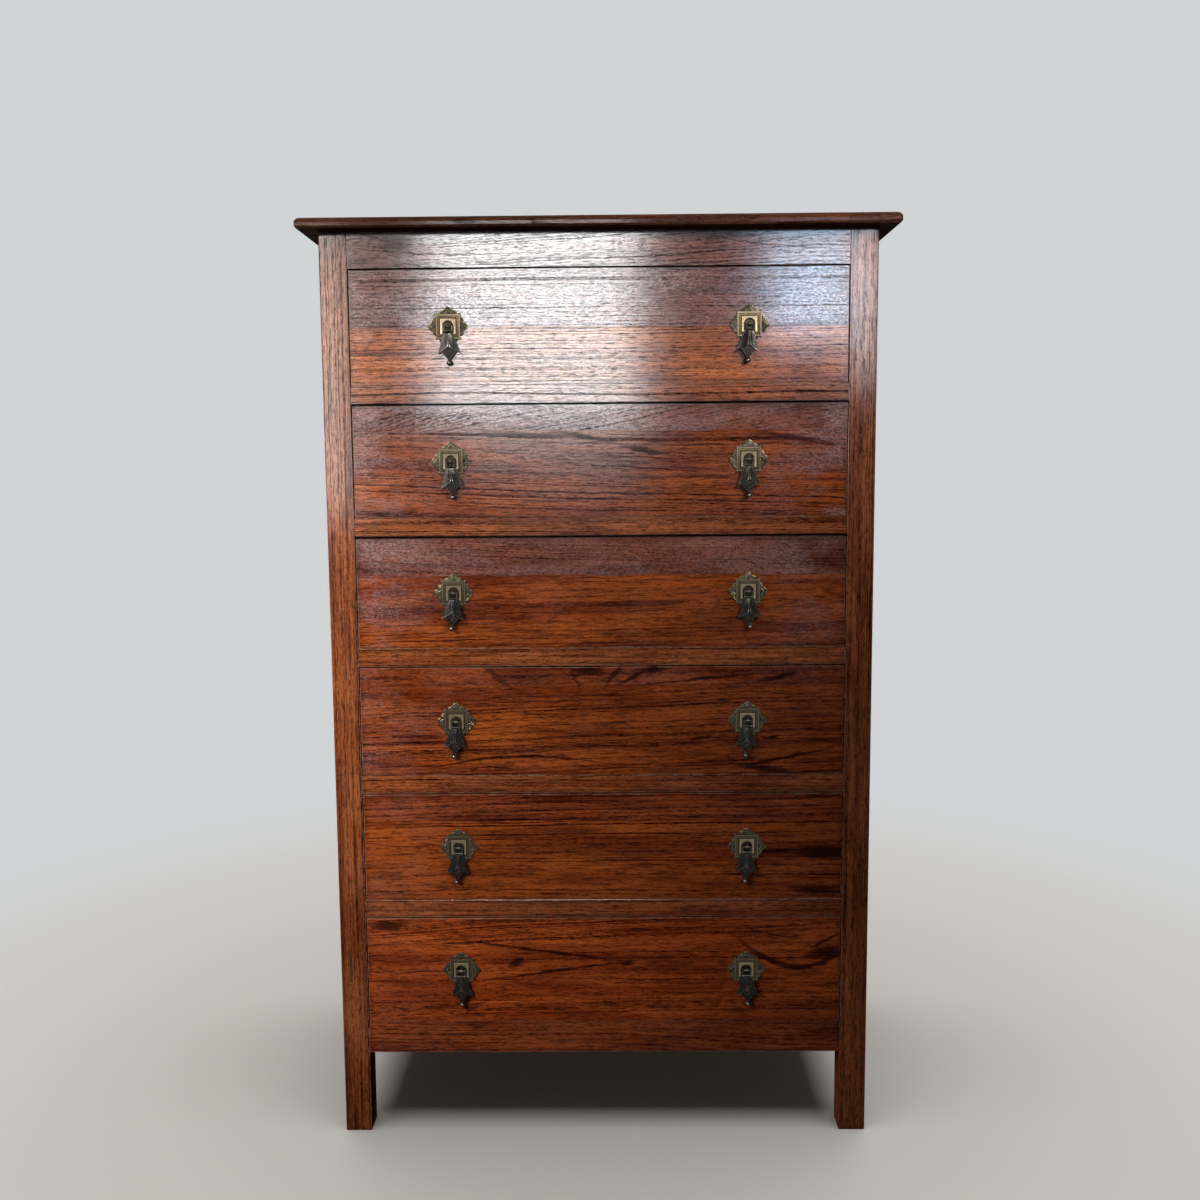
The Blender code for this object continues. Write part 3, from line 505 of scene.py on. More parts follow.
def soften(node, width):
    """Eases the arrises of a kept node, whose triangles are first joined back into flat faces."""
    made = NODES[node]
    made.modifiers.new("join", "WELD").merge_threshold = 0.00001
    flat = made.modifiers.new("flat", "DECIMATE")
    flat.decimate_type = "DISSOLVE"
    flat.angle_limit = math.radians(0.5)
    arris = made.modifiers.new("arris", "BEVEL")
    arris.width = width
    arris.segments = 2
    arris.limit_method = "ANGLE"
    arris.angle_limit = math.radians(30)
    arris.use_clamp_overlap = False


def dress(node, material, width=0.0006):
    """Gives a kept node its finish and eases its arrises."""
    NODES[node].data.materials.clear()
    NODES[node].data.materials.append(material)
    soften(node, width)


NODES = frame["nodes"]


def new_object(name, data):
    """An object in the scene."""
    made = bpy.data.objects.new(name, data)
    bpy.context.scene.collection.objects.link(made)
    return made


def middle_of(node):
    low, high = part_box(node)
    return (low + high) / 2


# Dark streaks in the frieze rail, as rows of Streak, in metres from the middle of its lower edge
FRIEZE_STREAKS = (
    (-0.276, 0.0320, 0.026, 0.0110, 0.0, 0.0, 0.6),
    (-0.325, 0.0100, 0.020, 0.0060, 0.0, 0.0, 0.5),
    (-0.215, 0.0180, 0.120, 0.0011, -0.03, 0.0050, 0.9),
    (-0.100, 0.0100, 0.110, 0.0010, 0.06, -0.0040, 0.9),
    (0.080, 0.0130, 0.130, 0.0010, 0.05, 0.0060, 0.9),
    (0.240, 0.0260, 0.080, 0.0012, -0.10, 0.0040, 0.9),
    (0.255, 0.0350, 0.070, 0.0009, 0.08, 0.0, 0.8),
)


def finish_carcass():
    post = Board(0.10, 0.030, 0.004, 0.0, 0.0056, 0.005, 0.016, GOLDEN)
    for place in ("front_post", "back_post"):
        for number, (word, _) in enumerate(SIDES):
            node = f"{place}_{word}"
            board = post._replace(stain=HONEY) if node == "front_post_right" else post
            seed = 3.0 + 5 * number + (place == "back_post")
            dress(node, oak(node + "_oak", "zxy", middle_of(node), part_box(node), [board], seed=seed))
    rail = Board(-0.05, 0.030, 0.006, 0.02, 0.0046, 0.010, 0.014, HONEY)
    for number in DRAWERS[:-1]:
        node = f"drawer_frame_{number}"
        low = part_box(node)[0]
        box = (
            Vector((-OPENING_HALF, FRONT, low.z)),
            Vector((OPENING_HALF, FRONT + RAIL_DEPTH, low.z + RAIL_HEIGHT)),
        )
        origin = Vector((0, FRONT, low.z))
        # Painted shadow of the gap along the lower edge of the rails above drawers 2 and 3
        gap_shadow_height = 0.0 if number < 3 else None
        extras = {"seed": 20.0 + number, "bare_from": 0.016, "gap_shadow_height": gap_shadow_height, "shine": 1.1}
        dress(node, oak(node + "_oak", "xzy", origin, box, [rail], **extras), 0.0004)
    frieze = Board(0.055, 0.014, 0.03, 0.05, 0.0036, 0.026, 0.010, PURPLE)
    apron = Board(-0.02, 0.022, 0.0, 0.05, 0.0050, 0.016, 0.014, RED)
    rails = (("frieze_rail", frieze, 31.0, FRIEZE_STREAKS), ("apron_rail", apron, 32.0, ()))
    for node, board, seed, streaks in rails:
        low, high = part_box(node)
        box = (Vector((-OPENING_HALF, low.y, low.z)), Vector((OPENING_HALF, high.y, high.z)))
        origin = Vector((0, FRONT, low.z))
        extras = {"seed": seed, "bare_from": 0.03, "streaks": streaks, "shine": 1.22}
        dress(node, oak(node + "_oak", "xzy", origin, box, [board], **extras), 0.0004)
    side = Board(0.10, 0.04, 0.01, 0.02, 0.0060, 0.012, 0.014, RED)
    for number, node in enumerate(("bottom_frame", "top_frame")):
        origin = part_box(node)[0]
        dress(node, oak(node + "_oak", "yzx", origin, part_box(node), [side], seed=41.0 + number), 0.0004)
    panel = Board(0.02, 0.05, 0.01, 0.04, 0.0080, 0.030, 0.012, PLY)
    for number, (word, _) in enumerate(SIDES):
        node = "side_panel_" + word
        veneer = [panel._replace(stain=VENEER)]
        dress(node, oak(node + "_oak", "zyx", middle_of(node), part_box(node), veneer, seed=51.0 + number))
    node = "back_panel"
    dress(node, oak(node + "_oak", "zxy", middle_of(node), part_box(node), [panel], seed=55.0))
    top = Board(0.02, 0.06, 0.01, 0.03, 0.0060, 0.020, 0.014, DARK)
    node = "top_board"
    wood = oak(node + "_oak", "xyz", middle_of(node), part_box(node), [top], seed=61.0, shine=0.22)
    dress(node, wood, 0.0004)


# Figure of the six drawer fronts, lower board then upper board, and the height where they meet
FRONT_BOARDS = {
    1: (
        Board(-0.06, 0.03, 0.004, 0.0, 0.0040, 0.006, 0.014, AMBER),
        Board(0.30, 0.04, 0.0, 0.0, 0.0036, 0.005, 0.009, PURPLE),
        0.0773,
    ),
    2: (
        Board(-0.05, 0.04, -0.020, 0.02, 0.0060, 0.012, 0.014, ORANGE),
        Board(0.02, 0.02, 0.230, 0.05, 0.0042, 0.016, 0.009, PURPLE),
        0.1190,
    ),
    3: (
        Board(-0.10, 0.04, 0.030, 0.0, 0.0090, 0.010, 0.018, ORANGE),
        Board(0.20, 0.02, -0.050, 0.04, 0.0060, 0.012, 0.005, PURPLE),
        0.1025,
    ),
    4: (
        Board(0.24, 0.05, 0.030, 0.02, 0.0080, 0.016, 0.016, ORANGE),
        Board(0.30, 0.030, 0.010, 0.02, 0.0260, 0.010, 0.008, RED),
        0.1290,
    ),
    5: (
        Board(-0.08, 0.04, 0.010, 0.02, 0.0064, 0.010, 0.018, ORANGE),
        Board(0.26, 0.03, 0.020, 0.02, 0.0100, 0.012, 0.014, RED),
        0.1165,
    ),
    6: (
        Board(-0.10, 0.03, 0.010, 0.02, 0.0130, 0.016, 0.014, CHERRY),
        Board(0.30, 0.03, 0.050, 0.02, 0.0110, 0.016, 0.014, CHERRY),
        0.1165,
    ),
}

# Greyish film on the varnish of each front, partly varnish bloom and partly painted sheen: on its lower and
# upper board, then the painted sheen haze that its two ends add
FRONT_BLOOM_AND_SHEEN = ((0.08, 0.60), (0.12, 0.70), (0.08, 0.42), (0.05, 0.15), (0.03, 0.05), (0.03, 0.03))
FRONT_SHEEN_HAZE = ((0.35, 0.35), (0.50, 0.60), (0.45, 0.30), (0.25, 0.0), (0.12, 0.0), (0.05, 0.0))

# Dark streaks in the drawer fronts, likewise
FRONT_STREAKS = {
    2: (
        *((-0.300 + 0.0150 * step, 0.1370, 0.042, 0.0010, 0.32, -0.0050, 0.9) for step in range(9)),
        (-0.095, 0.1130, 0.090, 0.0050, -0.02, 0.0, 0.8),
        (-0.020, 0.1110, 0.050, 0.0040, -0.20, 0.0, 0.9),
        (0.062, 0.0920, 0.034, 0.0042, -0.17, 0.0, 0.9),
        (0.080, 0.0810, 0.130, 0.0010, -0.06, 0.0, 0.8),
        (0.040, 0.0690, 0.120, 0.0010, -0.07, 0.0, 0.8),
        (0.270, 0.1070, 0.070, 0.0046, -0.16, 0.0, 0.8),
    ),
    4: (
        (-0.147, 0.1420, 0.024, 0.0075, -0.74, 0.0, 0.75),
        (-0.108, 0.1500, 0.052, 0.0230, -0.15, 0.0, 0.62),
        (-0.060, 0.1440, 0.040, 0.0160, 0.00, 0.0, 0.45),
        (-0.022, 0.1520, 0.026, 0.0095, -0.05, 0.0, 1.0),
        (-0.039, 0.1420, 0.009, 0.0080, -1.90, 0.0, 0.9),
        (0.002, 0.1370, 0.030, 0.0060, 0.0, 0.0, 0.55),
        (0.018, 0.1430, 0.016, 0.0060, 1.08, 0.0, 0.9),
        (0.043, 0.1400, 0.024, 0.0034, 0.50, 0.0, 1.0),
        (0.074, 0.1520, 0.030, 0.0046, 0.12, 0.0, 1.0),
        (0.150, 0.1380, 0.110, 0.0017, 0.09, 0.0, 0.9),
        (0.150, 0.1390, 0.030, 0.0032, 0.08, 0.0, 1.0),
        (0.250, 0.1400, 0.030, 0.0046, 0.22, 0.0, 1.0),
        (0.141, 0.0530, 0.018, 0.0032, 0.15, 0.0, 1.0),
        (0.241, 0.0530, 0.014, 0.0028, 0.15, 0.0, 1.0),
        (0.255, 0.0230, 0.075, 0.0030, 0.19, 0.0, 1.0),
        (0.225, 0.0095, 0.038, 0.0052, -0.12, 0.0, 1.0),
        (-0.128, 0.0270, 0.128, 0.0022, 0.04, -0.0150, 1.0),
        (-0.157, 0.0120, 0.040, 0.0016, 0.0, -0.0060, 1.0),
    ),
    5: (
        (0.318, 0.0690, 0.052, 0.0120, -0.04, 0.0, 1.0),
        (0.248, 0.0705, 0.040, 0.0040, 0.02, 0.0, 1.0),
        (0.305, 0.0120, 0.042, 0.0080, -0.10, 0.0, 0.9),
        (0.080, 0.0580, 0.110, 0.0011, 0.0, 0.0, 0.8),
        (-0.060, 0.1180, 0.200, 0.0012, 0.0, 0.0, 0.8),
    ),
    6: (
        (-0.312, 0.1460, 0.032, 0.0070, 0.0, 0.0, 1.0),
        (-0.127, 0.0890, 0.013, 0.0080, 0.35, 0.0, 1.0),
        (-0.080, 0.1053, 0.132, 0.0026, -0.14, 0.0, 1.0),
        (-0.058, 0.0776, 0.114, 0.0022, 0.13, 0.0, 1.0),
        (0.034, 0.0880, 0.012, 0.0040, 0.0, 0.0, 1.0),
        (0.090, 0.1300, 0.026, 0.0012, 0.0, 0.0, 1.0),
        (0.077, 0.0630, 0.060, 0.0010, 0.02, 0.0, 0.9),
        (0.282, 0.0810, 0.098, 0.0052, 0.0, 0.0560, 1.0),
        (0.236, 0.0940, 0.026, 0.0052, -0.50, 0.0, 1.0),
        (0.322, 0.1030, 0.036, 0.0110, 0.10, 0.0, 1.0),
        (0.318, 0.1190, 0.024, 0.0030, 0.55, 0.0, 1.0),
        (0.260, 0.1420, 0.070, 0.0012, 0.07, 0.0, 0.9),
        (0.268, 0.1270, 0.034, 0.0012, 0.0, 0.0060, 0.9),
    ),
}


def finish_drawers():
    lining = Board(0.30, 0.03, 0.005, 0.0, 0.0060, 0.010, 0.014, BARE)
    for number in DRAWERS:
        front, box, bottom = (f"drawer_{number}_{word}" for word in ("front", "box", "bottom"))
        low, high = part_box(front)
        origin = Vector((0, FRONT, low.z))
        lower, upper, joint = FRONT_BOARDS[number]
        wood = oak(
            front + "_oak",
            "xzy",
            origin,
            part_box(front),
            (lower, upper),
            joint,
            seed=70.0 + 3 * number,
            bare_from=0.009,
            streaks=FRONT_STREAKS.get(number, ()),
            bloom=FRONT_BLOOM_AND_SHEEN[number - 1],
            sheen_haze=FRONT_SHEEN_HAZE[number - 1],
            # Painted shadow of the gap along the top edge of the top three fronts
            gap_shadow_height=high.z - low.z if number < 4 else None,
            upper_shine=1.12 if number == 1 else 1.0,
        )
        dress(front, wood, 0.0007)
        wood = oak(
            box + "_wood",
            "yzx",
            origin,
            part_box(box),
            [lining],
            seed=100.0 + number,
            clouds=0.1,
            across_from=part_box(box)[1].y - BACK_BOARD,
        )
        dress(box, wood, 0.0003)
        seed = 110.0 + number
        wood = oak(bottom + "_wood", "xyz", origin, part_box(bottom), [lining], seed=seed, clouds=0.1)
        dress(bottom, wood, 0.0003)


# Pulls, in millimetres from the pin of the pendant: x across, y into the drawer, z up
PIN_REACH = 5.6
PLATE_HALF = 16.5
LOBE_SHOULDER = (7.8, 5.8)
LOBE_PEAK = (5.2, 4.6)
NICHE_HALF = 7.85

# Steps of the plate's boss, each so far inward and so far out of the drawer
BOSS_STEPS = (
    (0.15, 0.7),
    (2.1, 0.1),
    (0.3, -0.3),
    (0.3, 0.0),
    (0.3, 0.4),
    (1.1, 0.15),
    (0.3, -0.4),
    (0.5, 0.0),
    (0.6, 0.8),
    (0.4, 0.45),
    (2.6, -0.15),
)

# How far the left and the right pendant of each drawer hang askew, in degrees
LEANS = ((2.0, -3.4), (3.1, 0.0), (-3.3, 2.6), (-3.8, -3.0), (-3.8, -3.2), (1.2, 2.6))


def arc(centre, reach, start, end, steps):
    """Points on an ellipse, from one angle to another in degrees."""
    (x, z), (across, up) = centre, reach
    angles = (math.radians(start + (end - start) * step / steps) for step in range(steps + 1))
    return [(x + across * math.cos(angle), z + up * math.sin(angle)) for angle in angles]


def face_at(bm, outline, reach):
    """An upright face with its front towards -Y, so many millimetres out of the drawer."""
    return bm.faces.new([bm.verts.new((x, PIN_REACH - reach, z)) for x, z in outline])


def slab(bm, outline, back, front):
    """An upright slab between two reaches. Its front face is returned."""
    face = face_at(bm, outline, back)
    made = bmesh.ops.extrude_face_region(bm, geom=[face], use_keep_orig=True)["geom"]
    moving = [vert for vert in made if isinstance(vert, bmesh.types.BMVert)]
    bmesh.ops.translate(bm, verts=moving, vec=(0, back - front, 0))
    bmesh.ops.recalc_face_normals(bm, faces=bm.faces[:])
    return next(part for part in made if isinstance(part, bmesh.types.BMFace))


def step_inward(bm, face, steps):
    """Insets a face again and again, each time so far inward and so far up."""
    for inward, up in steps:
        bmesh.ops.inset_region(bm, faces=[face], thickness=inward, depth=up, use_even_offset=True)


def strand(bm, points, radii):
    """A round strand on a smooth line, with one radius or one for each point."""
    curve = bpy.data.curves.new("strand", "CURVE")
    curve.dimensions = "3D"
    curve.bevel_depth = 1.0
    curve.bevel_resolution = 2
    curve.use_fill_caps = True
    curve.resolution_u = 5
    spline = curve.splines.new("NURBS")
    spline.points.add(len(points) - 1)
    spline.order_u = 3
    spline.use_endpoint_u = True
    sizes = radii if isinstance(radii, tuple) else (radii,) * len(points)
    for point, place, size in zip(spline.points, points, sizes):
        point.co = (*place, 1)
        point.radius = size
    holder = bpy.data.objects.new("strand", curve)
    mesh = bpy.data.meshes.new_from_object(holder)
    bm.from_mesh(mesh)
    bpy.data.objects.remove(holder)
    bpy.data.curves.remove(curve)
    bpy.data.meshes.remove(mesh)


def bead(bm, place, size, turn=0.0):
    """An egg-shaped bead, turned in its upright plane by an angle in degrees."""
    tilt = Matrix.Rotation(math.radians(turn), 4, "Y")
    matrix = Matrix.Translation(place) @ tilt @ Matrix.Diagonal((*size, 1))
    bmesh.ops.create_uvsphere(bm, u_segments=18, v_segments=12, radius=1.0, matrix=matrix)


def rod(bm, place, radius, length, axis, sides=20):
    """A round or many-sided rod along X or Y."""
    matrix = Matrix.Translation(place) @ Matrix.Rotation(math.pi / 2, 4, "Y" if axis == "x" else "X")
    sizes = {"radius1": radius, "radius2": radius, "depth": length}
    bmesh.ops.create_cone(bm, cap_ends=True, segments=sides, matrix=matrix, **sizes)


def new_mesh(bm, name):
    """Turns a bmesh into a mesh."""
    mesh = bpy.data.meshes.new(name)
    bm.to_mesh(mesh)
    bm.free()
    return mesh


def shaded_mesh(bm, name, smooth):
    """Turns a bmesh into a mesh, shaded smooth or flat."""
    for face in bm.faces:
        face.smooth = smooth
    return new_mesh(bm, name)


def lobe():
    """The outline of the lobe on the plate's upper side."""
    across, up = LOBE_SHOULDER
    peak = LOBE_PEAK[0]
    points = arc((-peak, PLATE_HALF), (across, up), 180, 90, 6)[:-1]
    points += arc((0, PLATE_HALF + up), LOBE_PEAK, 180, 0, 12)
    return points + arc((peak, PLATE_HALF), (across, up), 90, 0, 6)[1:]


def turned(points, quarter):
    """Points turned clockwise by quarters of a turn."""
    for _ in range(quarter):
        points = [(z, -x) for x, z in points]
    return points


def plate_outline():
    near, nub = PLATE_HALF - 2.0, PLATE_HALF + 1.1
    side = [*lobe(), (near, PLATE_HALF), (near, nub), (nub, nub), (nub, near), (PLATE_HALF, near)]
    return [point for quarter in range(4) for point in turned(side, quarter)]


def carve(mesh, cutter):
    """Cuts one closed mesh out of another."""
    body, tool = (new_object("carved", part) for part in (mesh, cutter))
    cut = body.modifiers.new("cut", "BOOLEAN")
    cut.operation = "DIFFERENCE"
    cut.solver = "EXACT"
    cut.object = tool
    result = bpy.data.meshes.new_from_object(body.evaluated_get(bpy.context.evaluated_depsgraph_get()))
    for part in (body, tool):
        bpy.data.objects.remove(part)
    return result


def make_plate():
    """The plate with its lobes, stepped boss, arched niche, eye, bolt and nut."""
    bm = bmesh.new()
    slab(bm, plate_outline(), 0.3, 1.5)
    rims = [edge for edge in bm.edges if all(vert.co.y < PIN_REACH - 1.4 for vert in edge.verts)]
    bmesh.ops.bevel(bm, geom=rims, offset=0.3, segments=2, affect="EDGES", profile=0.5, material=-1)
    base = shaded_mesh(bm, "plate_base", False)
    bm = bmesh.new()
    edge = PLATE_HALF - 0.05
    boss = slab(bm, [(-edge, -edge), (edge, -edge), (edge, edge), (-edge, edge)], 0.8, 1.5)
    step_inward(bm, boss, BOSS_STEPS)
    boss = shaded_mesh(bm, "plate_boss", False)
    bm = bmesh.new()
    head = arc((0, 0.35), (NICHE_HALF, NICHE_HALF), 180, 0, 24)
    slab(bm, [(-NICHE_HALF, -11.5), *head, (NICHE_HALF, -11.5)], 0.6, 6.0)
    niche = shaded_mesh(bm, "niche", False)
    carved = [carve(part, niche) for part in (base, boss)]
    bm = bmesh.new()
    for part in carved:
        bm.from_mesh(part)
    flat_faces = set(bm.faces)
    reach = PIN_REACH - 1.5
    for quarter in range(4):
        for shape, radius in relief_lines():
            strand(bm, [(x, reach, z) for x, z in turned(shape, quarter)], radius)
        for x, z in turned([(0, PLATE_HALF + 3.3)], quarter):
            bead(bm, (x, reach, z), (1.0, 0.8, 1.0))
    step = [(x, PIN_REACH - 1.3, z) for x, z in arc((0, 0.35), (6.7, 6.7), 172, 8, 12)]
    strand(bm, step, 0.55)
    rod(bm, (0, 0, 0), 2.6, 4.2, "x")
    rod(bm, (0, PIN_REACH / 2, 0), 1.9, PIN_REACH, "y")
    rod(bm, (0, PIN_REACH + 12.9, 0), 2.0, 26.0, "y")
    rod(bm, (0, PIN_REACH + 22.1, 0), 4.5, 3.5, "y", 6)
    bmesh.ops.recalc_face_normals(bm, faces=bm.faces[:])
    for face in bm.faces:
        face.smooth = face not in flat_faces
    mesh = new_mesh(bm, "plate")
    mesh.set_sharp_from_angle(angle=math.radians(40))
    return mesh


def relief_lines():
    """Raised lines in the upper lobe: its rim, the arch within, two leaves and two curls."""
    foot = PLATE_HALF
    rim = [(0.87 * x, foot + 0.87 * (z - foot) + 0.2) for x, z in lobe()]
    arch = [(-3.6, foot + 0.6), (-3.2, foot + 2.6), (-1.5, foot + 5.4), (0, foot + 6.6)]
    arch += [(-x, z) for x, z in reversed(arch[:-1])]
    lines = [(rim, 0.5), (arch, 0.42)]
    for side in (-1, 1):
        curl = arc((6.2 * side, foot + 2.0), (1.25, 1.25), 200, -80, 8)
        leaf = [(10.0 * side, foot + 0.7), (8.6 * side, foot + 1.6), (7.6 * side, foot + 3.6)]
        lines += [(curl, 0.36), (leaf, (0.25, 0.5, 0.25))]
    return lines


def gable_place(across, down):
    """Where the gable's front lies, from -1 to 1 across it and from 0 to 1 down its sides."""
    half = 6.9 + 8.8 * down - 0.5 * math.sin(math.pi * down)
    x = across * half
    fall = min(1.0, max(0.0, (abs(x) - 1.1) / (half - 1.1)))
    ridge = 2.4 + 1.2 * min(1.0, down / 0.3)
    y = -ridge + (ridge - 0.6) * fall + 0.45 * math.sin(math.pi * fall)
    return x, y, -9.9 - 18.9 * down - 8.2 * down * abs(across)


def make_pendant():
    """The pendant: a fork on a pin, a shelf, a flared gable with thin ridges, a diamond and a ball."""
    bm = bmesh.new()
    bmesh.ops.create_grid(bm, x_segments=20, y_segments=16, size=1.0)
    for vert in bm.verts:
        vert.co = gable_place(vert.co.x, (1 - vert.co.y) / 2)
    made = bmesh.ops.extrude_face_region(bm, geom=bm.faces[:], use_keep_orig=True)["geom"]
    for vert in made:
        if isinstance(vert, bmesh.types.BMVert):
            vert.co.y = 0.8
    bmesh.ops.recalc_face_normals(bm, faces=bm.faces[:])
    half, top, shoulder, tip = 9.9, -24.0, -34.6, -47.0
    outline = [(0, tip), (half, shoulder), (0, top), (-half, shoulder)]
    diamond = slab(bm, outline, 5.1, 6.7)
    step_inward(bm, diamond, ((0.35, 0.5), (0.8, 0.1), (0.45, -0.85)))
    field = -1.0
    bead(bm, (0, field, -39.0), (1.1, 0.8, 2.7))
    bead(bm, (0, field, -35.0), (1.0, 0.9, 1.0))
    for side in (-1, 1):
        bead(bm, (2.9 * side, field, -35.2), (1.0, 0.8, 2.5), 38 * side)
        curl = arc((2.0 * side, -31.6), (1.3, 1.2), 90 - 110 * side, 90 + 150 * side, 8)
        strand(bm, [(x, field, z) for x, z in curl], 0.42)
        edges = [gable_place(side * share, 1.0) for share in (0.10, 0.25, 0.45, 0.65, 0.85, 0.97)]
        ridge = [(1.05 * side, -2.5, -10.2), (1.05 * side, -3.6, -15.5), (1.05 * side, -3.7, -22)]
        ridge += [(1.15 * side, -3.8, -26), (1.3 * side, -3.9, -27.9)]
        ridge += [(x, y - 0.25, z + 0.55) for x, y, z in edges[1:]]
        strand(bm, ridge, (0.45, 0.5, 0.55, 0.7, 0.9, 0.85, 0.8, 0.75, 0.7, 0.6))
        prong = ((5.3, 0, 0.3), (5.6, 0, -3), (5.5, -0.2, -7), (5.2, -0.3, -9))
        strand(bm, [(x * side, y, z) for x, y, z in prong], 1.45)
        bead(bm, (5.3 * side, 0, 0.2), (1.7, 1.5, 1.5))
    strand(bm, [(-6.4, -0.9, -7.6), (0, -1.1, -7.6), (6.4, -0.9, -7.6)], 1.2)
    rod(bm, (0, 0, 0), 1.1, 10.6, "x", 12)
    strand(bm, [(0, -0.55, -44.6), (0, -0.55, -46.4), (0, -0.55, -48)], (2.6, 2.2, 2.6))
    bead(bm, (0, -0.55, -49.6), (4.2, 4.2, 3.5))
    mesh = shaded_mesh(bm, "pendant", True)
    mesh.set_sharp_from_angle(angle=math.radians(35))
    return mesh


def make_patina():
    """Where a casting is rubbed or bright: on what stands out and along its edges, unevenly.

    The inputs are places along -Y. Little is bright beyond the crest.
    """
    tree, graph, given, result = new_group(
        "Patina",
        {"Float": ["Hollow", "Ridge", "Shoulder", "Rim", "Crest"]},
        {"Float": ["Rubbed", "Bright", "Mottle", "Relief"]},
    )
    place = graph.add("ShaderNodeTexCoord").outputs["Object"]
    out = graph.times(graph.split(place)[1], -1.0)
    edge = graph.fade(graph.add("ShaderNodeNewGeometry").outputs["Pointiness"], 0.50, 0.62)
    mottle = graph.noise(graph.scaled(place, 420.0), 4.0, 0.65)[0]
    grit = graph.noise(graph.scaled(place, 2400.0), 2.0)[0]
    uneven = graph.times(graph.less(mottle, 0.5), 0.8)
    uneven = graph.times_plus(graph.less(grit, 0.5), 0.4, uneven)
    rubbed = graph.times_plus(graph.fade(out, given["Hollow"], given["Ridge"]), 0.8, uneven)
    rubbed = graph.times_plus(edge, 0.5, rubbed, clamp=True)
    bright = graph.times_plus(graph.fade(out, given["Shoulder"], given["Rim"]), 0.9, uneven)
    bright = graph.times_plus(edge, 0.35, bright, clamp=True)
    beyond = graph.value("ADD", given["Crest"], MM)
    bright = graph.times(bright, graph.fade(out, given["Crest"], beyond, 1.0, 0.1))
    graph.feed(result["Rubbed"], rubbed)
    graph.feed(result["Bright"], bright)
    graph.feed(result["Mottle"], graph.fade(mottle, 0.4, 0.65))
    graph.feed(result["Relief"], graph.times_plus(grit, 0.3, mottle))
    return tree


PATINA = make_patina()


def metal(name, dull, tarnish, rubbed, bright, reaches):
    """Cast metal, dull in its hollows, rubbed on its ridges and bright on its rim.

    The reaches are those of hollow, ridge, shoulder, rim and crest, in millimetres out of the drawer.
    """
    made, graph, shader = new_material(name)
    hollow, ridge, shoulder, rim, crest = (reach * MM - FRONT for reach in reaches)
    patina = graph.use(PATINA, hollow=hollow, ridge=ridge, shoulder=shoulder, rim=rim, crest=crest)
    colour = graph.blend(patina["Mottle"], dull, tarnish)
    colour = graph.blend(patina["Rubbed"], colour, rubbed)
    graph.feed(shader.inputs["Base Color"], graph.blend(patina["Bright"], colour, bright))
    graph.feed(shader.inputs["Metallic"], graph.between(patina["Rubbed"], 0.85, 1.0))
    graph.feed(shader.inputs["Roughness"], graph.between(patina["Bright"], 0.30, 0.24))
    values = {"Strength": 0.4, "Distance": 0.3 * MM, "Height": patina["Relief"]}
    graph.feed(shader.inputs["Normal"], graph.add("ShaderNodeBump", values).outputs[0])
    return made


def put(mesh, name, place, body, node, material):
    """Sets a new piece in its place, on its body and in its node's stead."""
    mesh.transform(place)
    mesh.materials.clear()
    mesh.materials.append(material)
    made = new_object(name, mesh)
    bpy.data.collections["metal_parts"].objects.link(made)
    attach(made, body)
    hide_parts(node)
    return made


def hang_pulls():
    plate, pendant = make_plate(), make_pendant()
    brass = metal(
        "antique_brass",
        (0.009, 0.007, 0.004, 1),
        (0.024, 0.019, 0.011, 1),
        (0.056, 0.043, 0.026, 1),
        (0.230, 0.180, 0.110, 1),
        (1.5, 2.3, 2.8, 3.5, 4.2),
    )
    bronze = metal(
        "dark_bronze",
        (0.006, 0.005, 0.004, 1),
        (0.013, 0.011, 0.009, 1),
        (0.025, 0.021, 0.018, 1),
        (0.120, 0.105, 0.088, 1),
        (9.2, 10.0, 9.6, 10.2, 30.0),
    )
    for joint in frame["record"]["behaviour"]["joints"]:
        if joint["type"] != "hinge":
            continue
        key = joint["child"].removeprefix("pendant_")
        number, word = key.split("_")
        drawer, fixed, hung = "drawer_" + number, "pull_plate_" + key, joint["child"]
        at_pin = Matrix.Translation(joint["pos_m"])
        to_metres = Matrix.Scale(MM, 4)
        put(plate.copy(), "plate_" + key, at_pin @ to_metres, drawer, fixed, brass)
        askew = LEANS[int(number) - 1][word == "right"]
        place = at_pin @ Matrix.Rotation(-math.radians(askew), 4, "Y") @ to_metres
        put(pendant.copy(), "drop_" + key, place, hung, hung, bronze)


# Studio
CAMERA_PLACE = (0.0177, FRONT - 1.6717, 0.9648)
CAMERA_DOWN, CAMERA_ROLL, CAMERA_TURN = (math.radians(angle) for angle in (6.17, 0.447, 0.64))
BACKGROUND = (0.640, 0.655, 0.665, 1)
FLOOR_RADIUS = 2.0
FAR = -4.2
WHITE, COOL, BLUE = (1.0, 1.0, 1.0), (0.94, 0.97, 1.0), (0.52, 0.76, 1.0)
WARM, PEACH = (1.0, 0.97, 0.94), (1.0, 0.92, 0.86)

# Panels whose gloss shows on the varnish, as far off as the window: x, z, size, radiance and colour
PANELS = {
    "panel_left": (-0.35, 1.76, (0.96, 1.1), 390.0, COOL),
    "panel_low": (-0.25, 1.03, (0.80, 0.36), 44.0, COOL),
    "panel_right": (0.93, 1.80, (0.38, 0.50), 410.0, BLUE),
    "panel_far_right": (1.20, 1.73, (0.14, 0.75), 235.0, WHITE),
    "panel_far_left": (-1.36, 1.50, (0.26, 1.5), 215.0, PEACH),
}


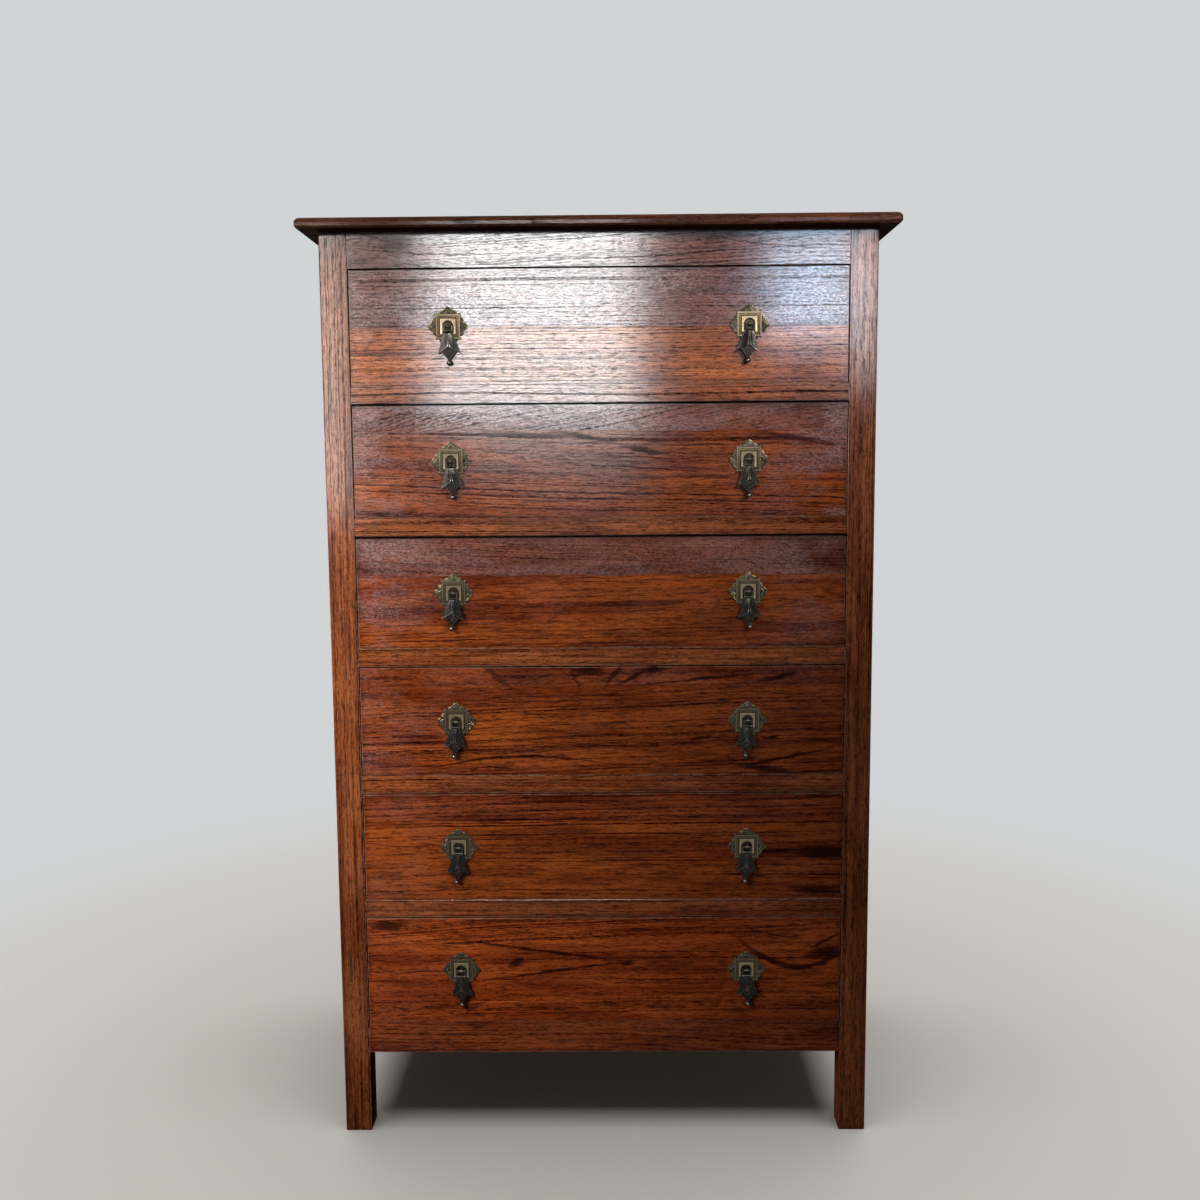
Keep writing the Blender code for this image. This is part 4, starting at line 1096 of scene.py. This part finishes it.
def make_camera():
    made = new_object("camera", bpy.data.cameras.new("camera"))
    made.data.sensor_width = 36
    made.data.lens = 36
    made.matrix_world = (
        Matrix.Translation(CAMERA_PLACE)
        @ Matrix.Rotation(CAMERA_TURN, 4, "Z")
        @ Matrix.Rotation(math.pi / 2 - CAMERA_DOWN, 4, "X")
        @ Matrix.Rotation(-CAMERA_ROLL, 4, "Z")
    )
    bpy.context.scene.camera = made


def softbox(name, place, size, radiance, colour=WHITE, aim=None, spread=180):
    """An upright area lamp that faces along +Y, or towards a place."""
    lamp = bpy.data.lights.new(name, "AREA")
    lamp.shape = "RECTANGLE"
    lamp.size, lamp.size_y = size
    lamp.energy = radiance * math.pi * size[0] * size[1]
    lamp.color = colour
    lamp.spread = math.radians(spread)
    made = new_object(name, lamp)
    towards = Vector((0, 1, 0)) if aim is None else Vector(aim) - Vector(place)
    made.matrix_world = Matrix.Translation(place) @ towards.to_track_quat("-Z", "Z").to_matrix().to_4x4()
    made.visible_camera = False
    return made


def make_lamps():
    """Keys and fills for the tallboy, panels for its wood, a window for its metal and a floor lamp."""
    key = softbox("key", (-1.00, -0.90, 1.35), (0.7, 1.1), 8.3, WARM, aim=(-0.74, FRONT, 0.80), spread=82)
    right_place, right_aim = (0.90, -1.20, 1.75), (0.26, FRONT, 1.24)
    right_key = softbox("right_key", right_place, (0.5, 0.5), 4.6, WARM, aim=right_aim, spread=46)
    fills = [
        softbox(word + "_fill", (2.1 * side, 0.75, 1.5), (1.4, 1.4), 4.0, aim=(0, 0.2, 0.7))
        for word, side in SIDES
    ]
    fills.append(softbox("back_fill", (-0.7, 2.3, 1.6), (1.4, 1.4), 4.5, aim=(0, 0, 0.7)))
    panels = [softbox(name, (x, FAR, z), *looks) for name, (x, z, *looks) in PANELS.items()]
    window = softbox("window", (0.0, FAR, 2.02), (1.7, 0.9), 11.0)
    varnished, metal_parts = (bpy.data.collections.new(name) for name in ("varnished", "metal_parts"))
    for node, made in NODES.items():
        if not node.startswith(("pull_plate", "pendant")):
            varnished.objects.link(made)
    window.light_linking.receiver_collection = metal_parts
    tallboy = bpy.data.collections.new("tallboy")
    tallboy.children.link(varnished)
    tallboy.children.link(metal_parts)
    for lamp in (key, right_key, *fills):
        lamp.light_linking.receiver_collection = tallboy
    overhead = softbox("overhead", (0.0, 0.0, 3.4), (4.0, 4.0), 4.2, aim=(0.0, 0.001, 0.0))
    floor_parts = bpy.data.collections.new("floor_parts")
    overhead.light_linking.receiver_collection = floor_parts
    for panel in panels:
        panel.visible_diffuse = False
        panel.light_linking.receiver_collection = varnished


def make_world():
    """Even light all round, and a pale background that lenses and polished metal see too."""
    world = bpy.data.worlds.new("studio")
    bpy.context.scene.world = world
    world.use_nodes = True
    graph = Graph(world.node_tree)
    path = graph.add("ShaderNodeLightPath").outputs
    seen = graph.value("MAXIMUM", path["Is Camera Ray"], path["Is Glossy Ray"])
    seen = graph.value("MAXIMUM", seen, path["Is Transmission Ray"])
    background = world.node_tree.nodes["Background"]
    graph.feed(background.inputs["Color"], graph.blend(seen, (1, 1, 1, 1), BACKGROUND))
    graph.feed(background.inputs["Strength"], graph.between(seen, 0.09, 1.0))


def make_floor():
    bm = bmesh.new()
    bmesh.ops.create_circle(bm, cap_ends=True, segments=96, radius=FLOOR_RADIUS)
    mesh = new_mesh(bm, "floor")
    made = new_object("floor", mesh)
    pale, graph, shader = new_material("pale_floor")
    place = graph.add("ShaderNodeTexCoord").outputs["Object"]
    distance = graph.add("ShaderNodeVectorMath", {0: place}, operation="LENGTH").outputs["Value"]
    shader.inputs["Base Color"].default_value = (0.50, 0.475, 0.44, 1)
    graph.feed(shader.inputs["Alpha"], graph.fade(distance, 0.7, 1.9, 1.0, 0.0))
    shader.inputs["Roughness"].default_value = 0.8
    shader.inputs["Specular IOR Level"].default_value = 0.2
    mesh.materials.append(pale)
    made.visible_diffuse = False
    bpy.data.collections["floor_parts"].objects.link(made)


bpy.context.scene.view_settings.view_transform = "Standard"
make_camera()
make_lamps()
make_world()
make_floor()
finish_carcass()
finish_drawers()
hang_pulls()
